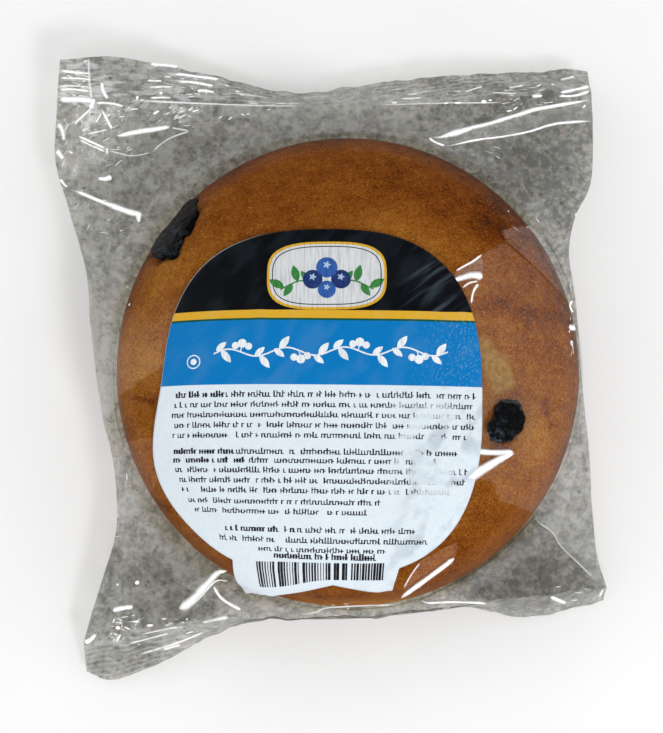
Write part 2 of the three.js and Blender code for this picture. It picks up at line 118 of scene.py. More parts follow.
# Sharp creases of the upper sheet, each with a painted highlight strip along it: width of the painted
# highlight at the start and at the end, height of the fold, brightness of the painted highlight, and then
# the places of the fold in plan, x and y in turn.
CREASES = [
    # tuck that runs into the upper right corner
    (1.5, 0.6, 0.9, 0.95, 20.9, 62.5, 24.9, 64, 34.1, 68.8, 45.3, 73.4, 54.6, 76.2, 64.9, 79.3),
    (0.55, 0.55, 0.8, 0.85, 24.8, 59.5, 33, 63.7, 46.1, 67.6, 54.4, 70.8, 64.9, 72.8),
    (0.7, 0.8, 0.8, 0.9, 20.7, 62.3, 22.2, 60.6, 24.8, 59.5),
    (0.6, 1.6, 0.6, 0.95, 56.5, 80.7, 60.5, 81.9, 65.1, 83.9),
    (0.4, 0.7, 0.3, 0.8, 56, 79.6, 60.7, 80.2, 65, 81.7),
    # beside the label, where the film is drawn in
    (0.5, 0.35, 0.5, 0.75, 31.7, 25, 29.5, 23, 25.1, 20.2),
    (0.7, 1.7, 0.7, 0.95, 24.5, 17.9, 27, 18.7, 29.6, 19.4, 31.8, 19),
    (0.4, 0.4, 0.4, 0.5, 26.6, 16, 28.3, 17.4, 30.6, 17.9),
    (0.35, 0.6, 0.3, 0.6, 28.7, 12.2, 29.3, 15.4, 30.6, 17.4),
    (1.2, 1, 0.8, 1, 28.6, -22.2, 33.7, -22.5, 38.4, -22.2),
    (0.9, 2, 1, 1, 38.6, -22.3, 35.5, -23.7, 32.8, -25.3, 27.2, -28.6),
    (0.9, 1.2, 1, 0.9, 12.1, -55.1, 17.6, -51.3, 21.3, -48.6, 24.8, -45.9),
    (0.35, 0.35, 0.4, 0.5, 12.7, -53.1, 14.6, -49.8, 16.6, -47.2),
    (2, 0.8, 1, 0.95, -41.9, -55.9, -38.8, -54.3, -35.5, -51.4, -31.9, -48.9, -28.4, -48.5),
    (0.5, 0.4, 0.2, 0.6, -38.6, -55.2, -35.2, -52.3, -31.9, -49.9, -28.6, -50.2),
    (0.5, 1, 0.7, 0.75, -32.8, -50.6, -31.6, -52.9, -29.7, -54.5, -26.1, -56.3),
    # upper left ear
    (0.55, 1.5, 0.9, 0.95, -71.2, 52.5, -62.1, 47.3, -52.9, 42.8, -52.2, 42.2),
    (1.5, 0.5, 0.7, 0.9, -53, 43.3, -52.6, 40.2),
    (0.9, 1.1, 0.8, 0.95, -60.2, 66.4, -52.8, 67.4, -45.8, 68.4),
    (0.4, 0.3, 0.3, 0.4, -45.8, 68.2, -40.8, 67), (0.3, 0.4, 0.3, 0.4, -50.5, 61.1, -46.7, 64.8, -40.8, 67),
    (0.35, 0.3, 0.3, 0.35, -62.4, 62.4, -55.5, 60.4, -50.5, 61.1),
    (0.45, 0.6, 0.7, 0.8, -70.6, 67.5, -66.6, 65.2, -62.9, 63),
    (0.35, 0.45, 0.2, 0.7, -70.2, 66.5, -66.4, 64.2, -62.8, 62.1),
    (0.5, 0.4, 0.2, 0.8, -62.5, 63.2, -62.3, 61.4),
    (0.6, 1.3, 0.5, 0.85, -64.6, 54.8, -62.4, 54.3, -60.7, 55.1),
    (0.6, 1.2, 0.5, 0.9, -66.5, 78, -67.4, 74.6), (0.5, 0.7, 0.4, 0.8, -66.3, 76.4, -62.5, 76.3, -58.4, 75.2),
    (0.4, 0.7, 0.5, 0.7, -64.4, 74.4, -61.3, 68.5), (0.5, 0.5, 0.4, 0.7, -72, 71, -69, 73.4, -66.8, 75.3),
    (0.5, 0.4, 0.3, 0.6, -66, 70.7, -64.2, 73.6), (0.35, 0.4, 0.3, 0.55, -68.2, 67.9, -62.6, 68.8),
    (1, 0.5, 0.4, 0.8, -64.5, 82, -64.2, 79.6, -62.8, 77.4),
    (0.5, 0.6, 0, 0.35, -68, 88.2, -67.8, 83, -67.2, 77),
    # ribs and weld lines of the upper seal
    (0.7, 0.35, 0, 0.8, -75.8, 85.1, -71, 84.4, -67, 83.8),
    (0.5, 0.4, 0, 0.7, -75.8, 83, -71, 82.8, -67, 82.2), (0.4, 0.3, 0, 0.5, -75.8, 80.9, -67.4, 80.6),
    (0.8, 0.4, 0, 0.75, -75.8, 79.9, -72.4, 80, -67.6, 79.6),
    (1.4, 1.3, 0, 0.95, -75.8, 77.5, -71, 77.5, -66.8, 77.1),
    (0.7, 0.6, 0, 0.75, -52.2, 87.2, -48, 87.3, -44.6, 87),
    (0.6, 0.8, 0, 0.95, -46, 84.9, -40, 85.1, -33.9, 84.9),
    (0.5, 0.8, 0, 0.9, -44.9, 82.9, -40, 83, -35.2, 82.5), (0.6, 0.5, 0, 0.6, -53, 82.6, -48.6, 82.6),
    (0.4, 0.4, 0, 0.5, -52.4, 80.9, -46, 81.1), (0.9, 0.6, 0, 0.8, -39.9, 80.5, -38, 80.9, -34.9, 80.4),
    (0.45, 0.4, 0, 0.5, -56.8, 77.1, -34.2, 76.2, -11.5, 75.1), (0.5, 0.4, 0, 0.55, -52, 77.9, -46, 77.9),
    (0.3, 0.3, 0, 0.45, 8.2, 75.6, 22, 76.4, 41, 77.4), (0.3, 0.3, 0, 0.35, -26, 77.6, -12, 76.6),
    (0.5, 0.4, 0, 0.4, -30, 80.6, -21, 79.6), (0.4, 0.6, 0, 0.55, 14, 78.4, 20, 78.9),
    (0.4, 0.6, 0, 0.5, 16, 80.2, 19, 80.6), (0.4, 0.6, 0, 0.5, 31, 80.6, 36.5, 82.9),
    (0.3, 0.5, 0, 0.5, 38, 80.3, 45.4, 80.6), (0.4, 0.6, 0, 0.5, 43, 82.5, 47.6, 83.9),
    (1.1, 1, 0, 0.85, 48.9, 79.3, 52.2, 79.7), (0.3, 0.9, 0, 0.6, 57.2, 86, 61.6, 87.2),
    # lower corners and the lower seal
    (1, 0.9, 0.6, 0.95, -58.9, -56, -56, -55.4, -53.2, -55.1),
    (1.6, 0.5, 0.5, 0.85, -66.4, -63.6, -64.8, -63, -63.1, -61.4),
    (0.6, 0.4, 0.2, 0.6, -58.2, -63.4, -56.8, -61.4), (0.7, 1.2, 0.5, 0.9, 51, -52, 53.5, -52.8, 55.9, -53.4),
    (0.25, 0.3, 0.5, 0.25, 44.3, -34.9, 50.4, -36.9, 53.3, -40.3, 62.4, -47.6),
    (0.5, 0.7, 0.3, 0.5, -53, -66.4, -43.2, -63.6, -35.8, -60.8),
    (0.4, 0.5, 0.3, 0.5, -55.3, -63.8, -44.5, -61.3), (0.35, 0.5, 0, 0.4, -52, -61.6, -42, -59.8),
    (1, 1.4, 0, 0.4, -36.4, -59, -29.4, -57.7), (1.2, 1.2, 0, 0.4, -46.8, -65.2, -42, -63.9),
    (0.7, 0.5, 0.4, 0.75, 17, -54.9, 26.5, -54.2, 35.2, -54.2),
    (0.5, 0.5, 0, 0.45, -11.7, -57.2, 0, -56.7, 11.5, -56.2),
    (0.9, 0.5, 0, 0.6, 64.4, -51.8, 64.9, -49.9),
    # along the bag's sides
    (0.5, 0.3, 0.2, 0.5, 55.9, 24.6, 54.9, 21), (0.8, 0.7, 0.3, 0.85, 54.4, 16.6, 53.3, 14.9, 54.5, 13.3),
    (1.1, 1.3, 0.3, 0.9, 52.8, 9.3, 54.8, 9.6), (0.9, 0.6, 0.2, 0.7, 53.6, 6.3, 53.4, 4.8),
    (1.3, 0.8, 0.3, 0.75, -76.2, 71.4, -74.9, 69.4, -74.3, 66.4),
    (1.2, 0.8, 0.3, 0.9, -76.3, 64.1, -74.2, 61.2), (0.7, 0.4, 0, 0.8, -75, 56.2, -73.9, 54.4, -72.6, 53.4),
]
# Single painted glints of the film: (x, y, length, width, turn in degrees).
GLINTS = [
    (36.3, 77.5, 1.5, 1.2, 0), (38, 78, 1, 0.8, 0), (29.4, 76.9, 2.4, 1, 5),
    (26.2, 76.7, 1.2, 0.8, 0), (42.9, 74.9, 1.8, 0.5, 15), (44.6, 75.7, 1.8, 0.5, 40),
    (55.2, 84, 0.9, 0.8, 0), (57.6, 80, 1.2, 0.8, 0), (63.2, 77.2, 1.6, 0.6, 50),
    (-52.4, -49.3, 1.4, 1.2, 30), (-57.7, -49.5, 0.8, 0.7, 0), (-57.6, -60.1, 1.3, 1.2, 0),
    (-55.2, -60.2, 2, 0.4, -25), (-58.6, -58.4, 1.4, 0.4, 60), (-53, -58.6, 1.6, 0.6, 15),
    (-49.4, -59.6, 1.8, 0.9, 10), (-55.2, 77.9, 1.2, 0.8, 70), (-54, 77.3, 1.2, 0.4, 20),
    (-49, 79.2, 1, 0.9, 0), (-50, 73.4, 2.2, 0.8, 40), (-27.2, 72.2, 1.6, 0.5, -40),
    (-25.9, 72.6, 1, 0.5, 30), (-33, 71, 1.8, 0.4, 65), (-30.4, 70.6, 1.8, 0.4, 55),
    (-39.6, 73.8, 2.4, 0.5, 30), (-41, 74.4, 2, 0.5, 50), (-43.2, 71.8, 2.6, 0.5, 40),
    (-52.9, 15.4, 0.9, 0.5, 30), (-54.4, 22, 0.8, 0.5, 0), (-72.4, 63.2, 1.4, 0.5, -30),
    (59.4, 46, 0.8, 0.5, 80), (51.4, 83.6, 1.6, 0.5, 30), (-20.5, 74, 1.2, 0.4, 0),
    (-32, 83.2, 1.8, 0.6, 0), (-29, 81.4, 1.4, 0.7, 0), (-27.8, 80, 1, 0.5, 0),
    (12.6, 76.9, 1.6, 0.7, 0),
]
# Zones of painted crinkle glints: (middle, half size, number, main direction and its spread in degrees).
CRINKLE_GLINT_ZONES = [
    ((-70, 60), (5, 12), 14, 60, 40), ((-57, 63), (9, 5), 12, 20, 40), ((-61, 73), (10, 4), 44, 20, 50),
    ((-43, 72), (8, 3.6), 30, 38, 30), ((-74.5, 66), (1.6, 7), 10, 65, 30), ((-71, 83), (4, 4.4), 26, 2, 18),
    ((-44, 82.6), (12, 4), 34, 3, 14), ((20, 80), (16, 3), 26, 5, 20), ((46, 80), (12, 3.4), 24, 12, 25),
    ((-57, -60), (7, 3), 22, 10, 60), ((-44, -61), (12, 3.2), 26, 14, 14),
    ((57, -51.5), (7, 2.4), 10, -15, 30), ((54, 12), (1.0, 11), 8, 80, 30), ((-22, 78), (12, 3), 14, 0, 20),
    ((24, -54.4), (9, 1.2), 10, 2, 12), ((-4, -56.9), (14, 0.8), 8, 2, 10), ((-60, 46), (8, 10), 8, 30, 60),
    ((-58, -30), (5, 16), 7, 60, 60), ((40, 62), (14, 6), 6, 20, 60), ((44, 34), (7, 7), 5, -40, 30),
]

FOLD_HALF_WIDTH = 1.5
# Lines where the film turns from one flat facet to the next: (points, width, height), the facet on
# the left of the line's direction is lifted.
HINGES = [
    ([(45.5, 42), (37.8, 29.9), (32.1, 25.8)], 9, 1.4),
    ([(37.8, 29.9), (43.9, 25.2), (50, 19.9)], 7, -0.5),
    ([(60.3, -46.6), (52.5, -40.3), (45.7, -34.6), (34.8, -33.6), (28, -30.5)], 9, -1.4),
    ([(-43.5, -2), (-54.4, -6.5)], 8, 1),
    ([(-45.2, -29.7), (-50, -33)], 6, 0.6),
]
# Outlines in plan of painted reflection, where the film stands off what is under it and looks milky,
# from faint to strong.
REFLECTION_VEILS = (
    [
        [(-60, -18), (-44, -18), (-40, -24), (-44.7, -27.9), (-48.6, -31.6), (-56, -36)],
        [(-78, 76.8), (-67, 76.8), (-67.8, 90), (-78, 90)],
        [(-54, 88), (-52, 80), (-33, 79.4), (-31, 86.6)],
        [(-60, 66.2), (-45, 68.4), (-34, 73), (-38, 76), (-58, 76)],
        [(-33, -56), (-28, -49), (-24, -58), (-34, -60.5)],
        [(16, 82), (8, 76), (40, 77.4), (34, 83)],
    ],
    [
        [(37.3, 29.2), (31.7, 25), (25.1, 19.9), (24, 0), (24, -20), (29.7, -22.4), (27.8, -27.9),
         (33.8, -29.2), (35.1, -33.1), (44.3, -34.9), (50.4, -36.7), (53.3, -40.3), (62.4, -47.8), (66, -50),
         (72, -20), (72, 0), (65.6, 5.6), (49.6, 18.1), (43.4, 23.5)],
        [(25.5, -42.5), (16.5, -47), (12.7, -53.1), (12.1, -55.4), (17.6, -51.3), (25, -45.9)],
        [(20.9, 62.5), (24.9, 64), (34.1, 68.8), (45.3, 73.4), (54.6, 76.2), (66.5, 79.6), (66.5, 73.2),
         (54.4, 70.8), (46.1, 67.6), (33, 63.7), (24.8, 59.5)],
    ],
    [
        [(45, 35.5), (36.8, 32.3), (37.8, 29.6), (43.8, 23.9), (50, 18.5), (57, 12.5), (54, 24)],
        [(31.7, 24.6), (25.1, 20.2), (24.4, 18), (31.8, 19.2)],
        [(57, 80.8), (66.5, 84.6), (66.5, 81.8)],
    ],
)

# The painted reflection beside the label at the left, which fades out upwards.
LEFT_REFLECTION_VEIL = [(-60, 20), (-40, 20), (-38, 5), (-38, -2), (-43.9, -2), (-52.8, -6.2), (-64, -9)]
LEFT_REFLECTION_TOP = 16.0
# Where the film lies tight on the berry beside the label.
BERRY_CONTACT = (36.6, -15.0)
# The painted reflections' edges fade over this distance on either side.
REFLECTION_EDGE = 0.12
# Painted light and shade on the smoky lower sheet, paler at the left and darker at the right, in plan:
# (place, size, change of tone).
PALE_SPOTS = [
    ((-67, 2), (9, 26), 0.11), ((-67, 2), (7, 18), 0.05), ((-50, -48), (22, 16), -0.01),
    ((46, -48), (20, 14), -0.085), ((52, 62), (22, 24), -0.09), ((-70, 70), (16, 20), 0.05),
]
# Where the upper sheet is crumpled and has painted glitter, in plan: (place, size, amount).
PAINTED_GLITTER_SPOTS = [
    ((-71, 72), (11, 16), 1), ((-46, 75), (16, 7), 0.6), ((56, 82), (16, 5), 0.35),
    ((-56, -62), (12, 5), 0.45), ((-67, 10), (4, 26), 0.25),
]
# Painted highlights along the creases: their share of the given width, and for each corner of the strip its
# side, its height in millimetres and its share of the brightness.
CREASE_HIGHLIGHT_WIDTH = 0.74
CREASE_HIGHLIGHT_RING = ((1, 0.16, 0.08), (0, 0.34, 1.25), (-1, 0.16, 0.08), (0, 0.04, 1.0))

# ======== the label, flat
LABEL_CENTRE = np.array([-6.5, -11.0])
LABEL_HALF_WIDTH = 37.6
LABEL_HALF_HEIGHT = 41.4
LABEL_ROUNDNESS = 2.8
BULGE_DEGREES, BULGE_SIZE, BULGE_SPREAD = -161.0, 0.115, 20.0
TAB_OUTLINE = [(-21.8, -36), (-24.9, -57.2), (-11, -48.2), (3, -43.8), (18.4, -46.9), (19.2, -36)]
TAB_CORNERS = (TAB_OUTLINE[1], TAB_OUTLINE[4])
TAB_CORNER_CUT, TAB_CORNER_SPREAD = 1.4, 3.0
LABEL_LIFT = 0.3
LABEL_THICKNESS = 0.12
LABEL_RINGS = 80
# Degrees from and to for the finer rim round the tab and for the rest of the rim.
TAB_ANGLES, ROUND_ANGLES = (-137, -43), (-43, 223)
FAR_FROM_RIM = 9.0
# The printed lines slope and bow across the label.
PRINT_SLOPE, PRINT_BOW = 0.015, 0.00033
GLARE_CENTRE = (24.0, -12.0)
# The printed fields by their lower edges, each up to the next.
PRINTED_FIELDS = ((3.55, "blue"), (18.8, "green_line"), (19.3, "gold_line"), (21.25, "black"))
BADGE_CENTRE = (1.4, 29.7)
SPRIG_STEM = [(-9.5, 26.3), (-4.5, 28.4), (1.4, 27.4), (7.3, 28.4), (12.3, 26.3)]
# Leaves and berries of the badge: (base, length, width, turn) and (middle, radius, ink).
SPRIG_LEAVES = (
    ((-8.6, 26.8), 4.0, 1.9, 150), ((-5.4, 28.2), 4.2, 1.9, 105), ((-6.6, 27.6), 3.6, 1.7, 235),
    ((8.2, 28.2), 4.2, 1.9, 75), ((11.4, 26.8), 4.0, 1.9, 30), ((9.4, 27.6), 3.6, 1.7, -55),
    ((-2.6, 28.1), 3.4, 1.6, 128), ((5.4, 28.1), 3.4, 1.6, 52),
)
SPRIG_BERRIES = (
    ((1.4, 31.6), 2.5, "berry_blue"), ((-1.9, 28.7), 2.3, "deep_blue"), ((4.7, 28.7), 2.3, "deep_blue"),
    ((1.4, 26.2), 2.1, "berry_blue"),
)
# The garland's ends, the height of its middle, and the height and length of its waves.
GARLAND_LEFT, GARLAND_RIGHT, GARLAND_MIDDLE, GARLAND_SWING, GARLAND_WAVE = -25, 29.5, 11.4, 0.95, 13.6
RING_CENTRE = (-29.9, 9.8)
# Small print: distance between its upright marks and their greatest widths, and the bars' middle.
PRINT_STEP, STROKE, BOLD_STROKE = 0.66, 0.36, 0.54
BARS_MIDDLE = -37.8


# ======== numbers and noise
TRIANGLE_SKEW = 0.36602540378


def lattice_random(i, j, k, seed):
    """Repeatable numbers from 0 to 1 on a whole-number lattice."""
    i, j, k = (np.asarray(a).astype(np.int64).astype(np.uint64) for a in (i, j, k))
    with np.errstate(over="ignore"):
        h = i * np.uint64(374761393) + j * np.uint64(668265263) + k * np.uint64(2246822519)
        h = (h + np.uint64(seed * 974711)) & np.uint64(0xFFFFFFFF)
        h = ((h ^ (h >> np.uint64(13))) * np.uint64(1274126177)) & np.uint64(0xFFFFFFFF)
        h = ((h ^ (h >> np.uint64(16))) * np.uint64(2654435769)) & np.uint64(0xFFFFFFFF)
        h = h ^ (h >> np.uint64(15))
    return h.astype(np.float64) / 0xFFFFFFFF


def value_noise(points, cell, seed):
    """Smooth noise from -1 to 1 in space, with features the size of a cell."""
    p = np.asarray(points, dtype=float) / cell
    base = np.floor(p)
    f = p - base
    f = f * f * (3 - 2 * f)
    total = 0.0
    for di in (0, 1):
        for dj in (0, 1):
            for dk in (0, 1):
                corner = lattice_random(base[..., 0] + di, base[..., 1] + dj, base[..., 2] + dk, seed)
                wx = f[..., 0] if di else 1 - f[..., 0]
                wy = f[..., 1] if dj else 1 - f[..., 1]
                wz = f[..., 2] if dk else 1 - f[..., 2]
                total = total + corner * wx * wy * wz
    return total * 2 - 1


def fractal_noise(points, cell, octaves, seed):
    total, weight, norm = 0.0, 1.0, 0.0
    for octave in range(octaves):
        total = total + weight * value_noise(points, cell / 2**octave, seed + octave * 17)
        norm += weight
        weight *= 0.5
    return total / norm


def facet_noise(xy, cell, seed):
    """Heights from -1 to 1 over a net of flat triangles, which gives film its sharp crumples."""
    xyz = np.concatenate([xy, np.zeros(xy.shape[:-1] + (1,))], axis=-1)
    bend = cell * 0.45
    x = (xy[..., 0] + bend * value_noise(xyz, cell * 1.7, seed + 5)) / cell
    y = (xy[..., 1] + bend * value_noise(xyz + 40.0, cell * 1.7, seed + 6)) / cell
    turn = seed * 1.3
    x, y = x * math.cos(turn) - y * math.sin(turn), x * math.sin(turn) + y * math.cos(turn)
    skew = (x + y) * TRIANGLE_SKEW
    i, j = np.floor(x + skew), np.floor(y + skew)
    u, v = x + skew - i, y + skew - j
    lower = u > v
    mid_i, mid_j = i + lower, j + ~lower
    high, low = np.maximum(u, v), np.minimum(u, v)
    zero = np.zeros_like(i)
    a = lattice_random(i, j, zero, seed)
    b = lattice_random(mid_i, mid_j, zero, seed)
    c = lattice_random(i + 1, j + 1, zero, seed)
    return (a * (1 - high) + b * (high - low) + c * low) * 2 - 1


def smoothstep(low, high, value):
    t = np.clip((np.asarray(value, dtype=float) - low) / (high - low), 0, 1)
    return t * t * (3 - 2 * t)


def unit(vectors):
    return vectors / np.maximum(np.linalg.norm(vectors, axis=-1, keepdims=True), 1e-9)


def catmull_rom(points, count):
    """Evenly spaced places along a smooth curve through the points."""
    p = np.asarray(points, dtype=float)
    p = np.vstack([2 * p[0] - p[1], p, 2 * p[-1] - p[-2]])
    t = np.linspace(0, 1, 24, endpoint=False)[:, None]
    spans = []
    for k in range(1, len(p) - 2):
        a, b, c, d = p[k - 1], p[k], p[k + 1], p[k + 2]
        spans.append(0.5 * (2 * b + (c - a) * t + (2 * a - 5 * b + 4 * c - d) * t**2
                            + (3 * b - a - 3 * c + d) * t**3))
    curve = np.vstack(spans + [p[-2][None]])
    length = np.concatenate([[0], np.cumsum(np.linalg.norm(np.diff(curve, axis=0), axis=1))])
    wanted = np.linspace(0, length[-1], count)
    return np.stack([np.interp(wanted, length, curve[:, axis]) for axis in range(curve.shape[1])], -1)


def off_line(points, start, end):
    """Share of a straight line's length nearest to each place, and the offset of the place from it."""
    run = end - start
    off = points - start
    t = np.clip((off @ run) / (run @ run), 0, 1)
    return t, off - t[..., None] * run


def end_fade(share, reach):
    """1 along a line, falling to 0 over a share of its length at either end."""
    return smoothstep(0, reach, share) * smoothstep(0, reach, 1 - share)


def between(table, a, b):
    """Values between the entries of a table, at broken row and column numbers."""
    i, j = a.astype(int), b.astype(int)
    s, t = a - i, b - j
    return (table[i, j] * (1 - s) * (1 - t) + table[i + 1, j] * s * (1 - t)
            + table[i, j + 1] * (1 - s) * t + table[i + 1, j + 1] * s * t)


def line_distance(xy, points):
    """Distance to a bent line, signed side of it, and the share of its length, for each place."""
    best = np.full(xy.shape[:-1], FAR_OFF)
    side = np.zeros_like(best)
    share = np.zeros_like(best)
    points = np.asarray(points, dtype=float)
    lengths = np.linalg.norm(np.diff(points, axis=0), axis=1)
    for k, (start, end) in enumerate(zip(points[:-1], points[1:])):
        t, gap = off_line(xy, start, end)
        distance = np.linalg.norm(gap, axis=-1)
        closer = distance < best
        best = np.where(closer, distance, best)
        run, off = end - start, xy - start
        side = np.where(closer, np.sign(run[0] * off[..., 1] - run[1] * off[..., 0]), side)
        share = np.where(closer, (lengths[:k].sum() + t * lengths[k]) / lengths.sum(), share)
    return best, side, share


def inside_distance(xy, outline):
    """Distance to a closed outline, above 0 inside it and below 0 outside."""
    outline = np.asarray(outline, dtype=float)
    distance = line_distance(xy, np.vstack([outline, outline[:1]]))[0]
    inside = np.zeros(xy.shape[:-1], bool)
    x, y = xy[..., 0], xy[..., 1]
    for (ax, ay), (bx, by) in zip(outline, np.roll(outline, -1, axis=0)):
        crosses = (ay > y) != (by > y)
        rise = by - ay if by != ay else 1e-9
        inside ^= crosses & (x < ax + (y - ay) * (bx - ax) / rise)
    return np.where(inside, distance, -distance)


# ======== meshes
def linked(name, data):
    """A new object in the scene."""
    made = bpy.data.objects.new(name, data)
    bpy.context.scene.collection.objects.link(made)
    return made


def mesh_object(name, points, faces, smooth=True):
    """A mesh object from places in millimetres and a whole-number array of quads or triangles."""
    points = np.asarray(points, dtype=float) * MM
    faces = np.asarray(faces, dtype=np.int32)
    mesh = bpy.data.meshes.new(name)
    mesh.vertices.add(len(points))
    mesh.vertices.foreach_set("co", points.astype(np.float32).ravel())
    mesh.loops.add(faces.size)
    mesh.loops.foreach_set("vertex_index", faces.ravel())
    mesh.polygons.add(len(faces))
    mesh.polygons.foreach_set("loop_start", np.arange(0, faces.size, faces.shape[1], dtype=np.int32))
    mesh.polygons.foreach_set("use_smooth", np.full(len(faces), smooth))
    mesh.update(calc_edges=True)
    mesh.validate()
    return linked(name, mesh)


def store(made, name, values):
    """Keeps a number or a vector for each vertex, for the materials and the node trees."""
    values = np.asarray(values, dtype=np.float32)
    kind = "FLOAT" if values.ndim == 1 else "FLOAT_VECTOR"
    attribute = made.data.attributes.new(name, kind, "POINT")
    attribute.data.foreach_set("value" if values.ndim == 1 else "vector", values.ravel())


def grid_quads(rows, columns, start=0, turned=False, around=False):
    """Quads of a grid of vertices, which face up where rows run to +Y and columns to +X."""
    last = columns if around else columns - 1
    r, c = np.meshgrid(np.arange(rows - 1), np.arange(last), indexing="ij")
    following = (c + 1) % columns
    a, b = r * columns + c, r * columns + following
    d, e = (r + 1) * columns + following, (r + 1) * columns + c
    quads = np.stack([a, b, d, e], -1).reshape(-1, 4) + start
    return quads[:, ::-1] if turned else quads


def grid_normals(grid):
    across = np.gradient(grid, axis=1)
    along = np.gradient(grid, axis=0)
    return unit(np.cross(across, along))


def halves(quads):
    """The two triangles of each quad."""
    return np.concatenate([quads[:, [0, 1, 2]], quads[:, [0, 2, 3]]])


def finish_piece(made, material, replaced=None):
    made.data.materials.clear()
    made.data.materials.append(material)
    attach(made, BODY)
    if replaced:
        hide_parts(replaced)


# ======== the film's form
def inside_muffin(radius, height):
    if height < 0:
        return False
    if height < LIP_HEIGHT:
        tucked = BASE_ROUNDING * (1 - min(height / BASE_ROUNDING, 1)) ** 2
        return radius < BASE_RADIUS + (CAP_RADIUS - BASE_RADIUS) * (height / LIP_HEIGHT) - tucked / 2
    across = (radius / CAP_RADIUS) ** DOME_ROUNDNESS
    up = ((height - LIP_HEIGHT) / (MUFFIN_HEIGHT - LIP_HEIGHT)) ** 2
    return across + up < 1


def crust_reach():
    """Distance from the core to the crust, for angles from straight down to straight up."""
    angles = np.linspace(-math.pi / 2, math.pi / 2, 361)
    reach = []
    for angle in angles:
        near, far = 0.0, 2 * CAP_RADIUS
        for _halving in range(24):
            middle = (near + far) / 2
            if inside_muffin(middle * math.cos(angle), CORE_HEIGHT + middle * math.sin(angle)):
                near = middle
            else:
                far = middle
        reach.append(near)
    return angles, np.array(reach)


ANGLES, REACH = crust_reach()


def cap_radius(points):
    """Distance from the axis, with the muffin's greater length along Y taken out."""
    return np.hypot(points[..., 0], (points[..., 1] - MUFFIN_SHIFT) / LENGTH_RATIO)


CORE = np.array([0, MUFFIN_SHIFT, CORE_HEIGHT])


def surface_reach(points):
    """Distance of each place from the core, and of the crust in the same direction."""
    radius = cap_radius(points)
    rise = points[..., 2] - CORE_HEIGHT
    return np.maximum(np.hypot(radius, rise), 1e-6), np.interp(np.arctan2(rise, radius), ANGLES, REACH)


def clear_of_muffin(points, clearance):
    """Moves places of the film out of the muffin and up to the floor."""
    distance, crust = surface_reach(points)
    scale = np.maximum(1, (crust + clearance) / distance)
    moved = CORE + (points - CORE) * scale[..., None]
    moved[..., 2] = np.maximum(moved[..., 2], 0)
    return moved


class Borders:
    """The film's border lines at one fineness of grid."""

    def __init__(self, columns, rows):
        self.upper_inner, self.upper_cut, self.lower_inner, self.lower_cut = (
            catmull_rom(line, columns + 1) for line in (UPPER_INNER, UPPER_CUT, LOWER_INNER, LOWER_CUT))
        self.left, self.right = (catmull_rom(line, rows + 1) for line in (LEFT_SIDE, RIGHT_SIDE))

    def spanned(self):
        """The flat surface between the four border lines."""
        u = np.linspace(0, 1, len(self.upper_inner))[None, :, None]
        v = np.linspace(0, 1, len(self.left))[:, None, None]
        grid = (1 - v) * self.lower_inner[None] + v * self.upper_inner[None]
        grid = grid + (1 - u) * self.left[:, None] + u * self.right[:, None]
        corners = (1 - u) * (1 - v) * self.left[0] + u * (1 - v) * self.right[0]
        return grid - corners - (1 - u) * v * self.left[-1] - u * v * self.right[-1]

    def pin(self, grid):
        grid[0], grid[-1] = self.lower_inner, self.upper_inner
        grid[:, 0], grid[:, -1] = self.left, self.right
        return grid


def relax(grid, passes, clearance):
    for _pass in range(passes):
        mean = (grid[1:-1, :-2] + grid[1:-1, 2:] + grid[:-2, 1:-1] + grid[2:, 1:-1]) / 4
        grid[1:-1, 1:-1] = clear_of_muffin(mean, clearance)
    return grid


def twice_as_fine(grid):
    """Doubles the steps of a grid along both axes, with smooth curves between them."""
    for axis in (0, 1):
        g = np.moveaxis(grid, axis, 0)
        padded = np.concatenate([2 * g[:1] - g[1:2], g, 2 * g[-1:] - g[-2:-1]])
        between = (9 * (padded[1:-2] + padded[2:-1]) - padded[:-3] - padded[3:]) / 16
        fine = np.empty((2 * len(g) - 1,) + g.shape[1:])
        fine[0::2], fine[1::2] = g, between
        grid = np.moveaxis(fine, 0, axis)
    return grid


def stretched_sheet(start_height, clearance):
    columns, rows = COARSE_COLUMNS, COARSE_ROWS
    grid = Borders(columns, rows).spanned()
    covered = cap_radius(grid) < CAP_RADIUS
    covered[0] = covered[-1] = covered[:, 0] = covered[:, -1] = False
    grid[..., 2] = np.where(covered, start_height, grid[..., 2])
    grid = relax(grid, RELAX_PASSES[0], clearance)
    for passes in RELAX_PASSES[1:]:
        columns, rows = 2 * columns, 2 * rows
        grid = relax(Borders(columns, rows).pin(twice_as_fine(grid)), passes, clearance)
    return grid


def rounded_sides(upper, lower):
    """Rounds the folded sides over a strip of columns, most at the middle of the bag."""
    reach = SIDE_REACH
    weight = 0.5 * np.sin(np.linspace(0, math.pi, len(upper)))[:, None, None] ** 0.7
    for flip in (False, True):
        top = upper[:, ::-1] if flip else upper
        low = lower[:, ::-1] if flip else lower
        strip = np.concatenate([low[:, reach:0:-1], top[:, : reach + 1]], axis=1)
        kept = strip.copy()
        for _pass in range(SIDE_PASSES):
            mean = (strip[:, :-2] + strip[:, 2:]) / 2
            strip[:, 1:-1] += weight * (mean - strip[:, 1:-1])
        pulled = kept[:, reach : reach + 1] - strip[:, reach : reach + 1]
        fall = np.abs(np.arange(strip.shape[1]) - reach)[None, :, None] / reach
        strip[..., :2] += pulled[..., :2] * np.clip(1 - fall, 0, 1) ** 2
        top[:, : reach + 1] = strip[:, reach:]
        low[:, : reach + 1] = strip[:, reach::-1]
    return upper, lower


